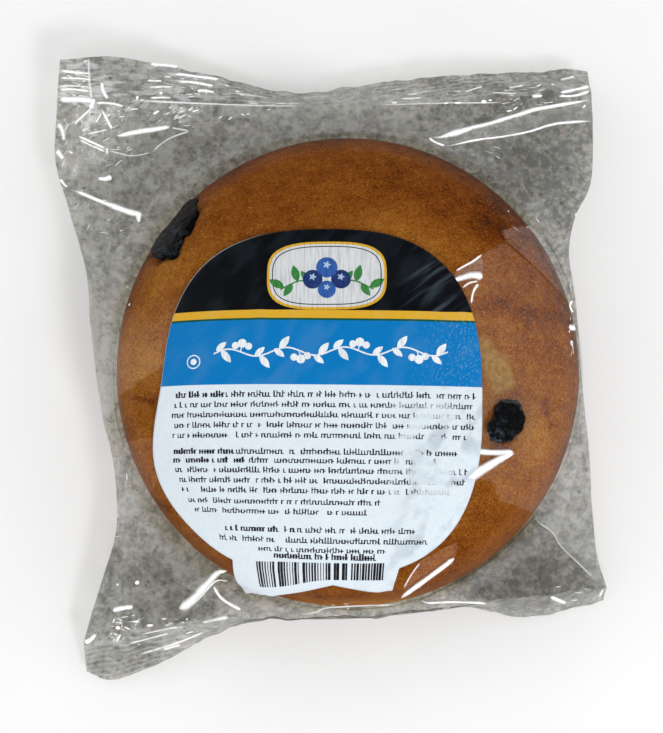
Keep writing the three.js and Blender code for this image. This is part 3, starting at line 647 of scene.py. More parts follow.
class FilmForm:
    """The two sheets of the bag before and after their folds, with what the materials need."""

    def __init__(self, clearance, crumple):
        upper = stretched_sheet(MUFFIN_HEIGHT, clearance)
        lower = stretched_sheet(0.0, clearance)
        lines = Borders(upper.shape[1] - 1, upper.shape[0] - 1)
        upper, lower = rounded_sides(upper, lower)
        self.label = LabelSurface(upper)
        self.sheets = []
        for side, body in zip((1, -1), self.folded(upper, lower, crumple)):
            low = self.seal(lines.lower_inner, lines.lower_cut, -1, side, crumple)
            high = self.seal(lines.upper_inner, lines.upper_cut, 1, side, crumple)
            body[:, [0, -1], 2] += side * SEAL_GAP / 2
            body = body[1:-1]
            middle = (body, np.zeros(body.shape), np.full(body.shape[:2], -1.0))
            parts = [np.concatenate([a[::-1], b, c]) for a, b, c in zip(low, middle, high)]
            self.sheets.append(dict(zip(("grid", "direction", "across"), parts)))

    def seal(self, inner, cut, outwards, side, crumple):
        """One sheet of a flat seal: its places, the way it faces and the distance from its fold."""
        steps = np.linspace(0, 1, SEAL_ROWS + 1)[:, None, None]
        normal = unit(np.cross(np.gradient(inner, axis=0), cut - inner) * outwards)
        band = inner + steps * (cut - inner) + side * SEAL_GAP / 2 * normal
        lift = sum(size * facet_noise(band[..., :2], cell, seed) for size, cell, seed in SEAL_CRUMPLES)
        lift = lift * smoothstep(0, 0.15, steps[..., 0]) * crumple
        across = np.linalg.norm(cut - inner, axis=1) * steps[..., 0]
        return band + lift[..., None] * normal, normal + 0 * band, across

    def folded(self, upper, lower, crumple):
        rows, columns = upper.shape[:2]
        across = np.minimum(np.arange(columns), np.arange(columns)[::-1])[None, :] / EDGE_STEPS
        along = np.minimum(np.arange(rows), np.arange(rows)[::-1])[:, None] / EDGE_STEPS
        inwards = smoothstep(0, 1, np.minimum(across, along))
        xy = upper[..., :2]
        ears = smoothstep(54, 68, cap_radius(xy))
        label_free = 1 - self.label.cover(xy, 2.0)
        shared = sum(size * facet_noise(xy, cell, seed) for size, cell, seed in SHARED_CRUMPLES)
        shared = shared * ears * crumple * (0.35 + 0.65 * inwards)
        upper_only = 0.16 * facet_noise(xy, 13.0, 21)
        for _start, _end, height, _shine, *places in CREASES:
            if height:
                distance, _side, share = line_distance(xy, np.reshape(places, (-1, 2)))
                crest = np.clip(1 - distance / FOLD_HALF_WIDTH, 0, 1)
                upper_only = upper_only + height * crest * (0.35 + 0.65 * end_fade(share, 0.12))
        for points, width, height in HINGES:
            distance, side, share = line_distance(xy, points)
            rise = np.clip(distance / width, 0, 1) * (1 - smoothstep(width, 3.2 * width, distance))
            upper_only = upper_only + height * rise * (side > 0) * (0.25 + 0.75 * end_fade(share, 0.1))
        lift = shared + upper_only * label_free * (0.3 + 0.7 * inwards)
        upper = clear_of_muffin(upper + lift[..., None] * grid_normals(upper), 0.3)
        xy = lower[..., :2]
        under = sum(size * facet_noise(xy, cell, seed) for size, cell, seed in LOWER_CRUMPLES)
        under = under * smoothstep(42, 60, cap_radius(xy)) * crumple
        lower = lower.copy()
        lower[..., 2] = np.maximum(lower[..., 2] + shared * (1 - inwards) + under * inwards, 0)
        return upper, lower


# ======== the label's surface
def degrees_between(angle, other):
    return np.abs((np.degrees(angle - other) + 180) % 360 - 180)


def label_reach(angle):
    """How far the flat label reaches from its middle: the round field or the tab."""
    angle = np.asarray(angle, dtype=float)
    x, y = np.cos(angle), np.sin(angle)
    across = np.abs(x / LABEL_HALF_WIDTH) ** LABEL_ROUNDNESS
    up = np.abs(y / LABEL_HALF_HEIGHT) ** LABEL_ROUNDNESS
    off = degrees_between(angle, math.radians(BULGE_DEGREES)) / BULGE_SPREAD
    field = (across + up) ** (-1 / LABEL_ROUNDNESS) * (1 + BULGE_SIZE * np.exp(-(off**2)))
    tab = np.zeros_like(field)
    for (ax, ay), (bx, by) in zip(TAB_OUTLINE[:-1], TAB_OUTLINE[1:]):
        bx, by = bx - ax, by - ay
        facing = x * by - y * bx
        facing = np.where(np.abs(facing) < 1e-9, 1e-9, facing)
        distance = (ax * by - ay * bx) / facing
        along = (ax * y - ay * x) / facing
        tab = np.where((distance > 0) & (along >= 0) & (along <= 1), distance, tab)
    for cx, cy in TAB_CORNERS:
        off = degrees_between(angle, math.atan2(cy, cx)) / TAB_CORNER_SPREAD
        tab = tab - TAB_CORNER_CUT * np.exp(-(off**2))
    return np.maximum(field, tab)


class SheetTop:
    """Finds the upper side of a sheet over places in plan."""

    HIGH_ABOVE = 100

    def __init__(self, grid):
        self.tree = BVHTree.FromPolygons(grid.reshape(-1, 3).tolist(), grid_quads(*grid.shape[:2]).tolist())

    def over(self, x, y):
        hit, normal = self.tree.ray_cast(Vector((x, y, self.HIGH_ABOVE)), Vector((0, 0, -1)))[:2]
        return (np.array(hit), np.array(normal)) if hit else None


class LabelSurface:
    """Lays flat label coordinates over the bag by walking outwards from the label's middle."""

    STEP = 0.5
    PROBE = 0.25
    SPOKES = 360
    FAR = 64.0
    NORMAL_REACH = 1.2
    LOW = (-62.0, -76.0)
    COUNT = (230, 240)

    def __init__(self, sheet):
        self.angles = np.linspace(-math.pi, math.pi, self.SPOKES + 1)
        self.rays = np.stack([np.cos(self.angles), np.sin(self.angles)], -1)
        self.heights = self.height_map(sheet)
        self.plan = self.walk()

    def height_map(self, sheet):
        top = SheetTop(sheet)
        heights = np.zeros(self.COUNT)
        for i, j in np.ndindex(*self.COUNT):
            found = top.over(self.LOW[0] + i * self.STEP, self.LOW[1] + j * self.STEP)
            heights[i, j] = found[0][2] if found else 0
        return heights

    def height(self, x, y):
        i = np.clip((x - self.LOW[0]) / self.STEP, 0, self.COUNT[0] - 1.001)
        j = np.clip((y - self.LOW[1]) / self.STEP, 0, self.COUNT[1] - 1.001)
        return between(self.heights, i, j)

    def walk(self):
        """Plan distance from the middle for each step of paper along each spoke."""
        x, y = self.rays.T
        plan = np.zeros_like(x)
        places = [plan]
        for _step in range(int(self.FAR / self.STEP)):
            here, ahead = (self.height(LABEL_CENTRE[0] + x * far, LABEL_CENTRE[1] + y * far)
                           for far in (plan, plan + self.PROBE))
            plan = plan + self.STEP / np.sqrt(1 + ((ahead - here) / self.PROBE) ** 2)
            places.append(plan)
        return np.array(places).T

    def plan_of(self, flat):
        far = np.hypot(flat[:, 0], flat[:, 1])
        turn = (np.arctan2(flat[:, 1], flat[:, 0]) + math.pi) / (2 * math.pi)
        spoke = np.clip(turn * self.SPOKES, 0, self.SPOKES - 1e-6)
        step = np.clip(far / self.STEP, 0, self.plan.shape[1] - 1.001)
        share = between(self.plan, spoke, step) / np.maximum(far, 1e-9)
        return LABEL_CENTRE + flat * share[:, None]

    def cover(self, xy, margin):
        """1 under the label and 0 outside it, over a margin."""
        edge = self.plan_of(self.rays * label_reach(self.angles)[:, None]) - LABEL_CENTRE
        off = xy - LABEL_CENTRE
        reach = np.interp(np.arctan2(off[..., 1], off[..., 0]), self.angles, np.hypot(*edge.T))
        return 1 - smoothstep(0.2, margin, np.hypot(off[..., 0], off[..., 1]) - reach)

    def normal(self, xy):
        reach = self.NORMAL_REACH
        x, y = xy.T
        dx = self.height(x - reach, y) - self.height(x + reach, y)
        dy = self.height(x, y - reach) - self.height(x, y + reach)
        return unit(np.stack([dx, dy, np.full_like(dx, 2 * reach)], -1))

    def wrinkle(self, flat):
        """Soft buckles of the paper, mostly towards its rim."""
        lift = np.zeros(len(flat))
        for points, width, height in LABEL_FOLDS:
            distance, _side, share = line_distance(flat, points)
            lift += height * np.exp(-((distance / width) ** 2)) * end_fade(share, 0.25)
        xyz = np.column_stack([flat, np.zeros(len(flat))])
        rim = smoothstep(18, 42, np.hypot(flat[:, 0], flat[:, 1]))
        lift += 0.10 * (0.3 + rim) * value_noise(xyz, 9.0, 77) + 0.022 * value_noise(xyz, 2.6, 78)
        return np.maximum(lift, -0.2)

    def place(self, flat, lift):
        """Places in space of flat coordinates, at a height above the paper's underside."""
        xy = self.plan_of(flat)
        base = np.column_stack([xy, self.height(*xy.T)])
        rise = LABEL_LIFT + self.wrinkle(flat) + lift
        return base + self.normal(xy) * rise[:, None]


# Buckles in the label paper, in flat label coordinates: (points, width, height).
LABEL_FOLDS = [
    ([(-14, 44), (-14.5, 26), (-13, 6)], 1.6, 0.28),
    ([(19, -14), (19.5, -24), (27, -33)], 1.6, 0.5),
    ([(25, 34), (31, 24), (37, 18)], 1.5, 0.45),
    ([(22, 30), (29, 20), (36, 13)], 1.3, -0.15),
    ([(-38, -12), (-24, -22)], 2.4, 0.3),
    ([(-22, -38), (-10, -40), (4, -39), (19, -36)], 1.4, 0.35),
    ([(10, 14), (14, 5), (16, -3)], 2, 0.16),
    ([(0, 16), (4, 8), (5, 0)], 2.2, 0.14),
]


# ======== the muffin's form
# Side of the muffin from the middle of its base to the lip, as (radius, height).
STEM_PROFILE = [
    (0, 0.35), (16, 0.35), (30, 0.4), (34, 1.3), (36, 4), (37.6, 9), (39.2, 15), (41.2, 22),
    (43.8, 27.5), (47.5, 30.6), (52.2, 32.6), (55.4, 35.0), (56.8, 38.0),
]
MUFFIN_COLUMNS = 360
MUFFIN_ROWS = 250

# Berries: middle of each lobe and its radius. The film presses them flat where they reach it.
LEFT_BERRY = [((-43.2, 31.0, 46.6), 5.5), ((-39.6, 36.3, 46.8), 4.2), ((-39.0, 40.6, 44.6), 2.6)]
RIGHT_BERRY = [((37.5, -12.8, 53.4), 3.9), ((34.6, -16.9, 53.6), 3.7), ((36.4, -15.0, 53.7), 4.1)]

# Each berry's piece, lobes, seed and bloom.
BERRIES = (("berry_left", LEFT_BERRY, 201, 0.4), ("berry_right", RIGHT_BERRY, 231, 0.8))


def muffin_profile():
    dome = []
    for step in range(1, 13):
        turn = math.radians(8 + (90 - 8) * step / 12)
        radius = CAP_RADIUS * max(math.cos(turn), 0) ** (2 / DOME_ROUNDNESS)
        dome.append((radius, LIP_HEIGHT + (MUFFIN_HEIGHT - LIP_HEIGHT) * math.sin(turn)))
    profile = catmull_rom(STEM_PROFILE + dome, MUFFIN_ROWS + 1)
    profile[0, 0] = profile[-1, 0] = 0
    profile[:, 0] = np.maximum(profile[:, 0], 0)
    return profile


def round_faces(rows, columns):
    """Triangles of a closed round form: a pole, rings of vertices, and the other pole."""
    ring = np.arange(columns)
    following = (ring + 1) % columns
    first = np.stack([np.zeros(columns, int), 1 + following, 1 + ring], -1)
    middle = halves(grid_quads(rows, columns, 1, around=True))
    start = 1 + (rows - 1) * columns
    last = np.stack([np.full(columns, 1 + rows * columns), start + ring, start + following], -1)
    return np.concatenate([first, middle, last])


def joined(parts):
    """Several forms as one: their places, their faces and a value for each place."""
    starts = np.cumsum([0] + [len(places) for places, _faces, _values in parts])
    faces = np.vstack([faces + start for start, (_places, faces, _values) in zip(starts, parts)])
    return np.vstack([part[0] for part in parts]), faces, np.concatenate([part[2] for part in parts])


def spot(points, centre, size):
    """1 at a place, falling smoothly to 0 over a size in millimetres, one or three numbers."""
    off = (points - np.asarray(centre, dtype=float)) / np.asarray(size, dtype=float)
    return np.exp(-(off**2).sum(-1))


def spots(points, table):
    """The sum of several spots: (place, size, amount)."""
    return sum(amount * spot(points, centre, size) for centre, size, amount in table)


def path_spot(points, path, width):
    """1 along a bent line in space, falling smoothly to 0 over a width."""
    best = np.full(len(points), FAR_OFF)
    for start, end in zip(np.array(path[:-1], dtype=float), np.array(path[1:], dtype=float)):
        gap = off_line(points, start, end)[1]
        best = np.minimum(best, np.linalg.norm(gap, axis=-1))
    return np.exp(-((best / width) ** 2))


def path_spots(points, table):
    """The sum of several bent lines: (path, width, amount)."""
    return sum(amount * path_spot(points, path, width) for path, width, amount in table)


def muffin_points():
    """Places and outward directions of the even muffin form, poles first and last."""
    profile = muffin_profile()
    turn = np.linspace(0, 2 * math.pi, MUFFIN_COLUMNS, endpoint=False)
    slope = np.gradient(profile, axis=0)[1:-1]
    out = unit(np.stack([slope[:, 1], -slope[:, 0]], -1))

    def around(pairs, middle, ratio):
        """Turns pairs of radius and height round the axis."""
        x = pairs[:, :1] * np.cos(turn)
        y = middle + pairs[:, :1] * np.sin(turn) * ratio
        return np.stack([x, y, np.repeat(pairs[:, 1:], MUFFIN_COLUMNS, axis=1)], -1).reshape(-1, 3)

    foot, top = ([[0, MUFFIN_SHIFT, profile[end, 1]]] for end in (0, -1))
    points = np.vstack([foot, around(profile[1:-1], MUFFIN_SHIFT, LENGTH_RATIO), top])
    return points, np.vstack([[[0, 0, -1]], around(out, 0, 1), [[0, 0, 1]]])


def crust_relief(points):
    """Depth in millimetres below the even form: swells, pores, pockets, a crack and folds."""
    z = points[:, 2]
    cap = smoothstep(31, 36, z)
    depth = 0.10 + 0.10 * (1 + fractal_noise(points, 16.0, 3, 101))
    depth += 0.05 * (1 + value_noise(points, 2.4, 111)) * cap
    bubbles = smoothstep(0.45, 0.8, value_noise(points * [1, 1, 0.7], 3.1, 121))
    depth += (1 - cap) * (0.35 * (1 + fractal_noise(points, 6.0, 3, 131)) + 0.5 * bubbles)
    rough = 1 + 0.5 * value_noise(points, 2.2, 141)
    for lobes, deep in ((LEFT_BERRY, 2.2), (RIGHT_BERRY, 1.1)):
        depth += deep * smoothstep(0.28, 0.75, near_lobes(points, lobes, 1.28) * rough)
    return depth + path_spots(points, CRUST_FOLDS) + spots(points, PORES)


# Crack and folds near the rim: (path, width, depth).
CRUST_FOLDS = [
    ([(-54, -6.8, 44), (-52.4, -7.4, 47), (-50.6, -8.2, 48.6)], 0.7, 0.8),
    ([(-50.6, -8.2, 48.6), (-47.5, -9.6, 51), (-44, -9.2, 53)], 0.8, 0.25),
    ([(-14, -54.6, 40), (-4, -54.9, 41.5), (3, -55, 41), (9, -54, 40)], 1.1, 0.7),
    ([(6, -52.5, 44), (12, -52, 43.5), (17, -50, 43)], 0.9, 0.5),
]
# Zones that are baked less or more: (place, size, change of tone).
BAKE_SPOTS = [
    ((24.5, 27, 57.5), (8, 4, 8), -0.20), ((36, 33, 48), (12, 10, 12), 0.20),
    ((7.5, 32, 58), (9, 4, 9), -0.14), ((-43.5, 22.5, 49), (4.5, 8, 9), -0.28),
    ((-50, 4, 47), (7, 14, 9), -0.10), ((46, -4, 51), (8, 8, 9), -0.10),
    ((44, -16.5, 51), (6, 8, 9), -0.26), ((38, -34, 45), (13, 9, 12), -0.06),
    ((-52, -20, 44), (8, 12, 12), 0.10),
]
# Painted shade along folds and cracks, and one pale edge: (path, width, change of tone).
SHADE_AND_PALE_PATHS = [
    ([(31.5, 6.6, 58.3), (34, 6, 57.6)], 1.6, 0.12), ([(46.5, -9.2, 51.7), (47.8, -13, 50.7)], 1.5, 0.13),
    ([(51.4, -10, 47.6), (53.4, -10.9, 46)], 1.8, 0.10),
    ([(-54, -6.4, 44), (-50.6, -8, 48.6), (-46.8, -9.7, 51.9)], 0.6, 0.4),
    ([(-46.8, -9.7, 51.9), (-44.6, -13, 52.4), (-43.6, -18, 52)], 1.8, 0.10),
    ([(-48.6, -31.6, 40), (-43.8, -34.4, 44)], 1.2, 0.4),
    ([(-12, -57.2, 38), (-4, -57, 40), (3, -56.5, 41), (14, -56.4, 38)], 3, -0.4),
]
BAKE_WAVE = [(31, 12.6, 58), (36.9, 13, 56.5), (40.6, 12.1, 55), (44.8, 11.8, 52.6), (51, 11.4, 49)]
# Small dents in the crust, the first five darker round them: (place, size, depth).
PORES = [
    ((46.3, -9.7, 51.7), 0.9, 0.5), ((48.1, -14.8, 49.4), 1, 0.5), ((47, -12.2, 51), 0.6, 0.35),
    ((-52.6, 15.4, 45), 0.9, 0.4), ((-55, 22, 36), 0.8, 0.4), ((41.5, 6, 54.6), 1.6, 0.25),
    ((36, 3, 57), 1.8, 0.2), ((38.5, -4, 56), 1.4, 0.25),
]


def crust_tone(points):
    """How far the crust is baked, plus painted shade in folds: 0 is pale gold and 1 the darkest brown."""
    x, y, z = points.T
    radius, cap = cap_radius(points), smoothstep(30, 36, z)
    tone = 0.59 + 0.11 * fractal_noise(points, 22.0, 2, 151) + 0.10 * fractal_noise(points, 7.0, 3, 161)
    # the cap is darker towards +Y, +X and -Y and along its rim
    tone += 0.12 * smoothstep(22, 46, y) * smoothstep(34, 46, z)
    tone += 0.08 * smoothstep(20, 50, -y) + 0.16 * smoothstep(15, 50, x)
    tone += 0.27 * smoothstep(50, 56.5, radius) * smoothstep(-10, 30, y) * cap
    tone += 0.14 * smoothstep(53, 57, radius) * cap
    # zones baked less or more, and painted shade along folds and cracks with one pale edge
    tone += spots(points, BAKE_SPOTS) + path_spots(points, SHADE_AND_PALE_PATHS)
    tone += 0.15 * path_spot(points, BAKE_WAVE, 2.7) * (1 + 0.35 * value_noise(points, 3.0, 171))
    tone += spots(points, [(centre, 1.2 * size, 0.2) for centre, size, _deep in PORES[:5]])
    # the side under the lip is paler and the base a little browner
    tone += 0.25 * (1 - smoothstep(1, 7, z)) - 0.22 * (1 - smoothstep(29, 36, z))
    return np.clip(tone, 0, 1)


# Where the crust has opened on the right, beside the label.
OPEN_CRUST = [
    (31.0, 4.8), (35.4, 1.6), (37.8, -1.6), (39.4, -6), (37.6, -8.2), (33.6, -8.1), (31.2, -3.5), (29.4, 1),
]


def crumb_tone(points):
    """1 where the crust has opened and the pale greenish crumb shows."""
    inside = inside_distance(points[:, :2], OPEN_CRUST) + 0.9 * value_noise(points, 2.2, 181)
    return smoothstep(-1.0, 1.4, inside) * smoothstep(50, 53, points[:, 2])


def near_lobes(points, lobes, spread):
    """1 in a berry's lobes, falling to 0 over their radius times a spread."""
    return np.max([spot(points, centre, radius * spread) for centre, radius in lobes], axis=0)


def stain_tone(points):
    """1 where berry juice has soaked into the crust."""
    stain = np.maximum(0.6 * near_lobes(points, LEFT_BERRY, 1.2), 0.9 * near_lobes(points, RIGHT_BERRY, 1.35))
    stain = np.maximum(stain, 0.7 * spot(points, (34.2, -19.4, 55.6), (4.0, 2.6, 4)))
    return np.clip(stain * (1 + 0.5 * value_noise(points, 2.0, 191)), 0, 1)


def berry_form(lobes, seed, rings=72, columns=96):
    """A closed berry of several lobes with wrinkled skin, pressed flat where the film lies."""
    middle = np.mean([centre for centre, _radius in lobes], axis=0)
    tilt = np.linspace(-math.pi / 2, math.pi / 2, rings + 2)[1:-1]
    turn = np.linspace(0, 2 * math.pi, columns, endpoint=False)
    rays = np.stack([np.cos(tilt)[:, None] * np.cos(turn), np.cos(tilt)[:, None] * np.sin(turn),
                     np.repeat(np.sin(tilt)[:, None], columns, axis=1)], -1).reshape(-1, 3)
    rays = np.vstack([[[0, 0, -1]], rays, [[0, 0, 1]]])
    reach = np.zeros(len(rays))
    for centre, radius in lobes:
        off = middle - np.asarray(centre)
        along = rays @ off
        inside = np.maximum(along**2 - (off @ off - radius**2), 0)
        reach = np.maximum(reach, np.where(inside > 0, -along + np.sqrt(inside), 0))
    points = middle + rays * reach[:, None]
    ragged = 0.9 * value_noise(points, 3.0, seed + 5) + 0.45 * value_noise(points, 1.5, seed + 6)
    wrinkles = np.abs(value_noise(points, 2.1, seed))
    points = pressed_by_film(points + rays * (ragged - wrinkles * 0.4)[:, None], 0.12)
    return points - rays * (wrinkles * 0.4)[:, None], round_faces(rings, columns), wrinkles


def pressed_by_film(points, clearance):
    """Moves places that stand out of the film back under it."""
    distance, crust = surface_reach(points)
    scale = np.minimum(1, (crust + clearance) / distance)
    return CORE + (points - CORE) * scale[:, None]


# ======== node trees
class Value:
    """A socket of a node tree that adds, subtracts and multiplies as a number does."""

    def __init__(self, tree, socket):
        self.tree = tree
        self.socket = socket

    def __add__(self, other):
        return self.tree.math("ADD", self, other)

    def __sub__(self, other):
        return self.tree.math("SUBTRACT", self, other)

    def __rsub__(self, other):
        return self.tree.math("SUBTRACT", other, self)

    def __mul__(self, other):
        return self.tree.math("MULTIPLY", self, other)


class Tree:
    """Adds and joins the nodes of one material or one geometry node group."""

    def __init__(self, tree):
        self.tree = tree

    def add(self, kind, inputs=None, **settings):
        node = self.tree.nodes.new(kind)
        for name, value in settings.items():
            setattr(node, name, value)
        for key, value in (inputs or {}).items():
            self.feed(node.inputs[key], value)
        return node

    def feed(self, socket, value):
        if isinstance(value, bpy.types.Node):
            value = value.outputs[0]
        if isinstance(value, Value):
            value = value.socket
        if isinstance(value, bpy.types.NodeSocket):
            self.tree.links.new(value, socket)
        elif value is not None:
            socket.default_value = value

    def value(self, kind, inputs=None, output=0, **settings):
        return Value(self, self.add(kind, inputs, **settings).outputs[output])

    def math(self, operation, *values, clamp=False):
        return self.value("ShaderNodeMath", dict(enumerate(values)), operation=operation, use_clamp=clamp)

    def scaled(self, vector, share):
        return self.add("ShaderNodeVectorMath", {0: vector, "Scale": share}, operation="SCALE")

    def xyz(self, *parts):
        return self.add("ShaderNodeCombineXYZ", dict(enumerate(parts)))

    def parts(self, vector):
        return [Value(self, socket) for socket in self.add("ShaderNodeSeparateXYZ", {0: vector}).outputs]

    def step(self, value, low, high, to_low=0.0, to_high=1.0, smooth=True):
        """Goes smoothly or evenly from one number to another while a value goes from low to high."""
        inputs = {"Value": value, "From Min": low, "From Max": high, "To Min": to_low, "To Max": to_high}
        kind = "SMOOTHSTEP" if smooth else "LINEAR"
        return self.value("ShaderNodeMapRange", inputs, interpolation_type=kind)

    def spread(self, noise, low, high):
        """Spreads a noise pattern evenly from one number to another."""
        return self.step(noise, *NOISE_RANGE, low, high, smooth=False)

    def blend(self, share, first, second, kind="MIX"):
        node = self.add("ShaderNodeMix", data_type="RGBA", blend_type=kind)
        self.feed(node.inputs[0], share)
        for key, colour in ((6, first), (7, second)):
            fixed = not isinstance(colour, (Value, bpy.types.NodeSocket))
            self.feed(node.inputs[key], linear(colour) if fixed else colour)
        return node.outputs[2]

    def place(self):
        return self.value("ShaderNodeTexCoord", output="Object")

    def stored(self, name, output="Fac"):
        """What is kept under a name on a mesh's vertices, for a material."""
        return self.value("ShaderNodeAttribute", output=output, attribute_name=name)

    def named(self, name, kind="FLOAT_VECTOR"):
        """What is kept under a name on a mesh's vertices, for a geometry node group."""
        return self.value("GeometryNodeInputNamedAttribute", {"Name": name}, data_type=kind)

    def noise(self, place, size_mm, detail=2.0, rough=0.5, stretch=None):
        if stretch:
            place = self.add("ShaderNodeMapping", {"Vector": place, "Scale": stretch})
        inputs = {"Vector": place, "Scale": 1000.0 / size_mm, "Detail": detail, "Roughness": rough}
        return self.value("ShaderNodeTexNoise", inputs, "Fac")

    def cells(self, place, size_mm):
        inputs = {"Vector": place, "Scale": 1000 / size_mm}
        return self.value("ShaderNodeTexVoronoi", inputs, "Distance", feature="F1")

    def bump(self, height, strength, depth_mm, normal=None):
        inputs = {"Height": height, "Strength": strength, "Distance": depth_mm * MM, "Normal": normal}
        return self.add("ShaderNodeBump", inputs)

    def ramp(self, value, stops):
        node = self.add("ShaderNodeValToRGB", {"Fac": value})
        points = node.color_ramp.elements
        for _extra in range(len(stops) - 2):
            points.new(0.5)
        for point, (place, colour) in zip(points, stops):
            point.position = place
            point.color = linear(colour)
        return node.outputs["Color"]

    def principled(self, colour, roughness, specular, bump=None, glow=0.0):
        return self.add("ShaderNodeBsdfPrincipled", {
            "Base Color": colour, "Roughness": roughness, "Specular IOR Level": specular, "Normal": bump,
            "Emission Color": colour if glow else None, "Emission Strength": glow,
        })

    def surface(self, shader):
        self.add("ShaderNodeOutputMaterial", {"Surface": shader})


def linear(colour):
    """A colour property's value as the light values that shaders use."""
    light = [c / 12.92 if c <= 0.04045 else ((c + 0.055) / 1.055) ** 2.4 for c in colour]
    return tuple(light) + (1.0,)


def new_material(name):
    material = bpy.data.materials.new(name)
    material.use_nodes = True
    material.node_tree.nodes.clear()
    return material, Tree(material.node_tree)


def crust_material(settings):
    """Baked crust: tones from pale gold to dark brown, fine grain, light specks, crumb and juice.

    The tones carry painted shade along the crust's folds.
    """
    material, t = new_material("baked_crust")
    place = t.place()
    grain = t.noise(place, 0.85, rough=0.6)
    tone = t.stored("bake") + t.spread(t.noise(place, 5.0), -0.075, 0.075)
    tone = tone + t.spread(t.noise(place, 1.7, stretch=(0.45, 1.0, 1.0)), -0.055, 0.055)
    tone = tone + t.spread(grain, 0.08, -0.15)
    tone = t.math("ADD", tone, t.spread(t.noise(place, 0.32, 1.0), 0.14, -0.25), clamp=True)
    colour = t.ramp(tone, [
        (0.0, settings.pale_gold), (0.3, settings.gold), (0.56, settings.brown), (0.8, settings.dark_brown),
        (1.0, settings.darkest),
    ])
    specks = t.step(t.cells(place, 0.95), 0.05, 0.28, 0.75, 0.0) * t.step(t.noise(place, 3.0), 0.38, 0.62)
    colour = t.blend(specks, colour, settings.speck)
    crumb = t.ramp(t.noise(place, 1.1, 3.0), [(0.3, settings.crumb_dark), (0.7, settings.crumb)])
    colour = t.blend(t.stored("crumb") * 0.85, colour, crumb)
    colour = t.blend(t.stored("stain") * 0.8, colour, settings.stain)
    bump = t.bump(t.noise(place, 2.4, 3.0), 0.5, 0.5, t.bump(grain, 0.55, 0.22))
    t.surface(t.principled(colour, t.spread(grain, 0.42, 0.62), 0.06, bump))
    return material


def berry_material(settings):
    """Dark berry skin with a pale bloom and fine pale wrinkles."""
    material, t = new_material("berry_skin")
    place = t.place()
    bloom = t.stored("bloom")
    cloud = t.noise(place, 1.3, 5.0, 0.7)
    colour = t.blend(t.step(cloud, 0.46, 0.66) * bloom, settings.berry, settings.berry_bloom)
    colour = t.blend(t.step(t.stored("wrinkle"), 0.0, 0.12, 0.12, 0.0) * bloom, colour, settings.berry_crease)
    bump = t.bump(t.noise(place, 1.1, 4.0, 0.65), 0.9, 0.6)
    t.surface(t.principled(colour, t.spread(cloud, 0.35, 0.55), 0.12, bump))
    return material


def film_material(settings):
    """Clear film: light passes straight through, and a share that grows at a slant is reflected.

    White scatter adds painted glitter and painted reflections.
    """
    material, t = new_material("clear_film")
    place = t.place()
    seal, cling = t.stored("seal"), t.stored("cling")
    reflection_veils = t.parts(t.stored("veil", "Vector"))
    # the lower sheet is smoky and mottled, with darker and warmer flecks and painted light and shade
    cloud = t.noise(place, 7.0) * 0.35 + t.noise(place, 1.9, 3.0, 0.7) * 0.65 + t.stored("pale")
    smoky = t.blend(t.step(cloud, 0.38, 0.60, smooth=False), settings.lower_dark, settings.lower_tint)
    flecks = t.step(t.cells(place, 3.4), 0.08, 0.26, 0.45, 0.0)
    smoky = t.blend(flecks, smoky, settings.lower_dark, "MULTIPLY")
    smoky = t.blend(t.step(t.noise(place, 3.1, 1.0), 0.57, 0.68, 0.0, 0.35), smoky, settings.lower_warm)
    tint = t.blend(t.stored("lower_sheet"), settings.upper_tint, smoky)
    # where the film lies close on the crust the crust looks darker and richer, but not in painted reflections
    in_reflection = 0.0
    for level, amount in zip(reflection_veils, (0.8, 0.9, 1.0)):
        in_reflection = t.math("MAXIMUM", in_reflection, t.step(level, -REFLECTION_EDGE, REFLECTION_EDGE, 0.0, amount, False))
    tint = t.blend(cling * (1.0 - in_reflection), tint, settings.cling_tint)
    slant = t.math("POWER", t.value("ShaderNodeLayerWeight", {"Blend": 0.5}, "Facing"), 5.0)
    least = t.step(cling, 0.0, 1.0, settings.reflection, settings.cling_reflection, False)
    most = t.step(cling, 0.0, 1.0, settings.slant_reflection, 0.2 * settings.slant_reflection, False)
    share = t.math("ADD", slant * most, least, clamp=True)
    # painted glitter of crumpled film in small ragged patches, which lie along the ribs on the seals
    patches = t.step(t.noise(place, 2.6, 4.0, 0.7), 0.47, 0.62, 0.0, 0.6)
    ribbed = t.step(t.noise(place, 1.5, 3.0, 0.6, stretch=(0.22, 1.0, 1.0)), 0.46, 0.60, 0.0, 0.55)
    glitter = patches * (1.0 - seal) + ribbed * seal
    milky = glitter * t.stored("crumpled") + (seal * 0.02 + settings.haze)
    # painted reflection: white scatter inside the outlines, weaker where the film clings
    veil_reflection = t.step(cling, 0.0, 1.0, settings.veil_reflection, 0.3 * settings.veil_reflection, False)
    veil_reflection = veil_reflection * t.step(t.noise(place, 0.9, 3.0, 0.6), 0.35, 0.65, 0.45, 1.5, False)
    for level, amount in zip(reflection_veils, (0.5, 1.0, 2.0)):
        milky = milky + t.step(level, -REFLECTION_EDGE, REFLECTION_EDGE, 0.0, amount, False) * veil_reflection
    clear = t.add("ShaderNodeBsdfTransparent", {"Color": tint})
    white = t.add("ShaderNodeBsdfDiffuse", {"Color": linear(settings.milk)})
    bump = t.bump(t.noise(place, 3.0), 0.12, 0.3)
    gloss = t.add("ShaderNodeBsdfGlossy", {
        "Color": WHITE_LIGHT, "Roughness": settings.gloss_roughness, "Normal": bump,
    })
    body = t.add("ShaderNodeMixShader", {0: milky, 1: clear, 2: white})
    t.surface(t.add("ShaderNodeMixShader", {0: share, 1: body, 2: gloss}))
    return material


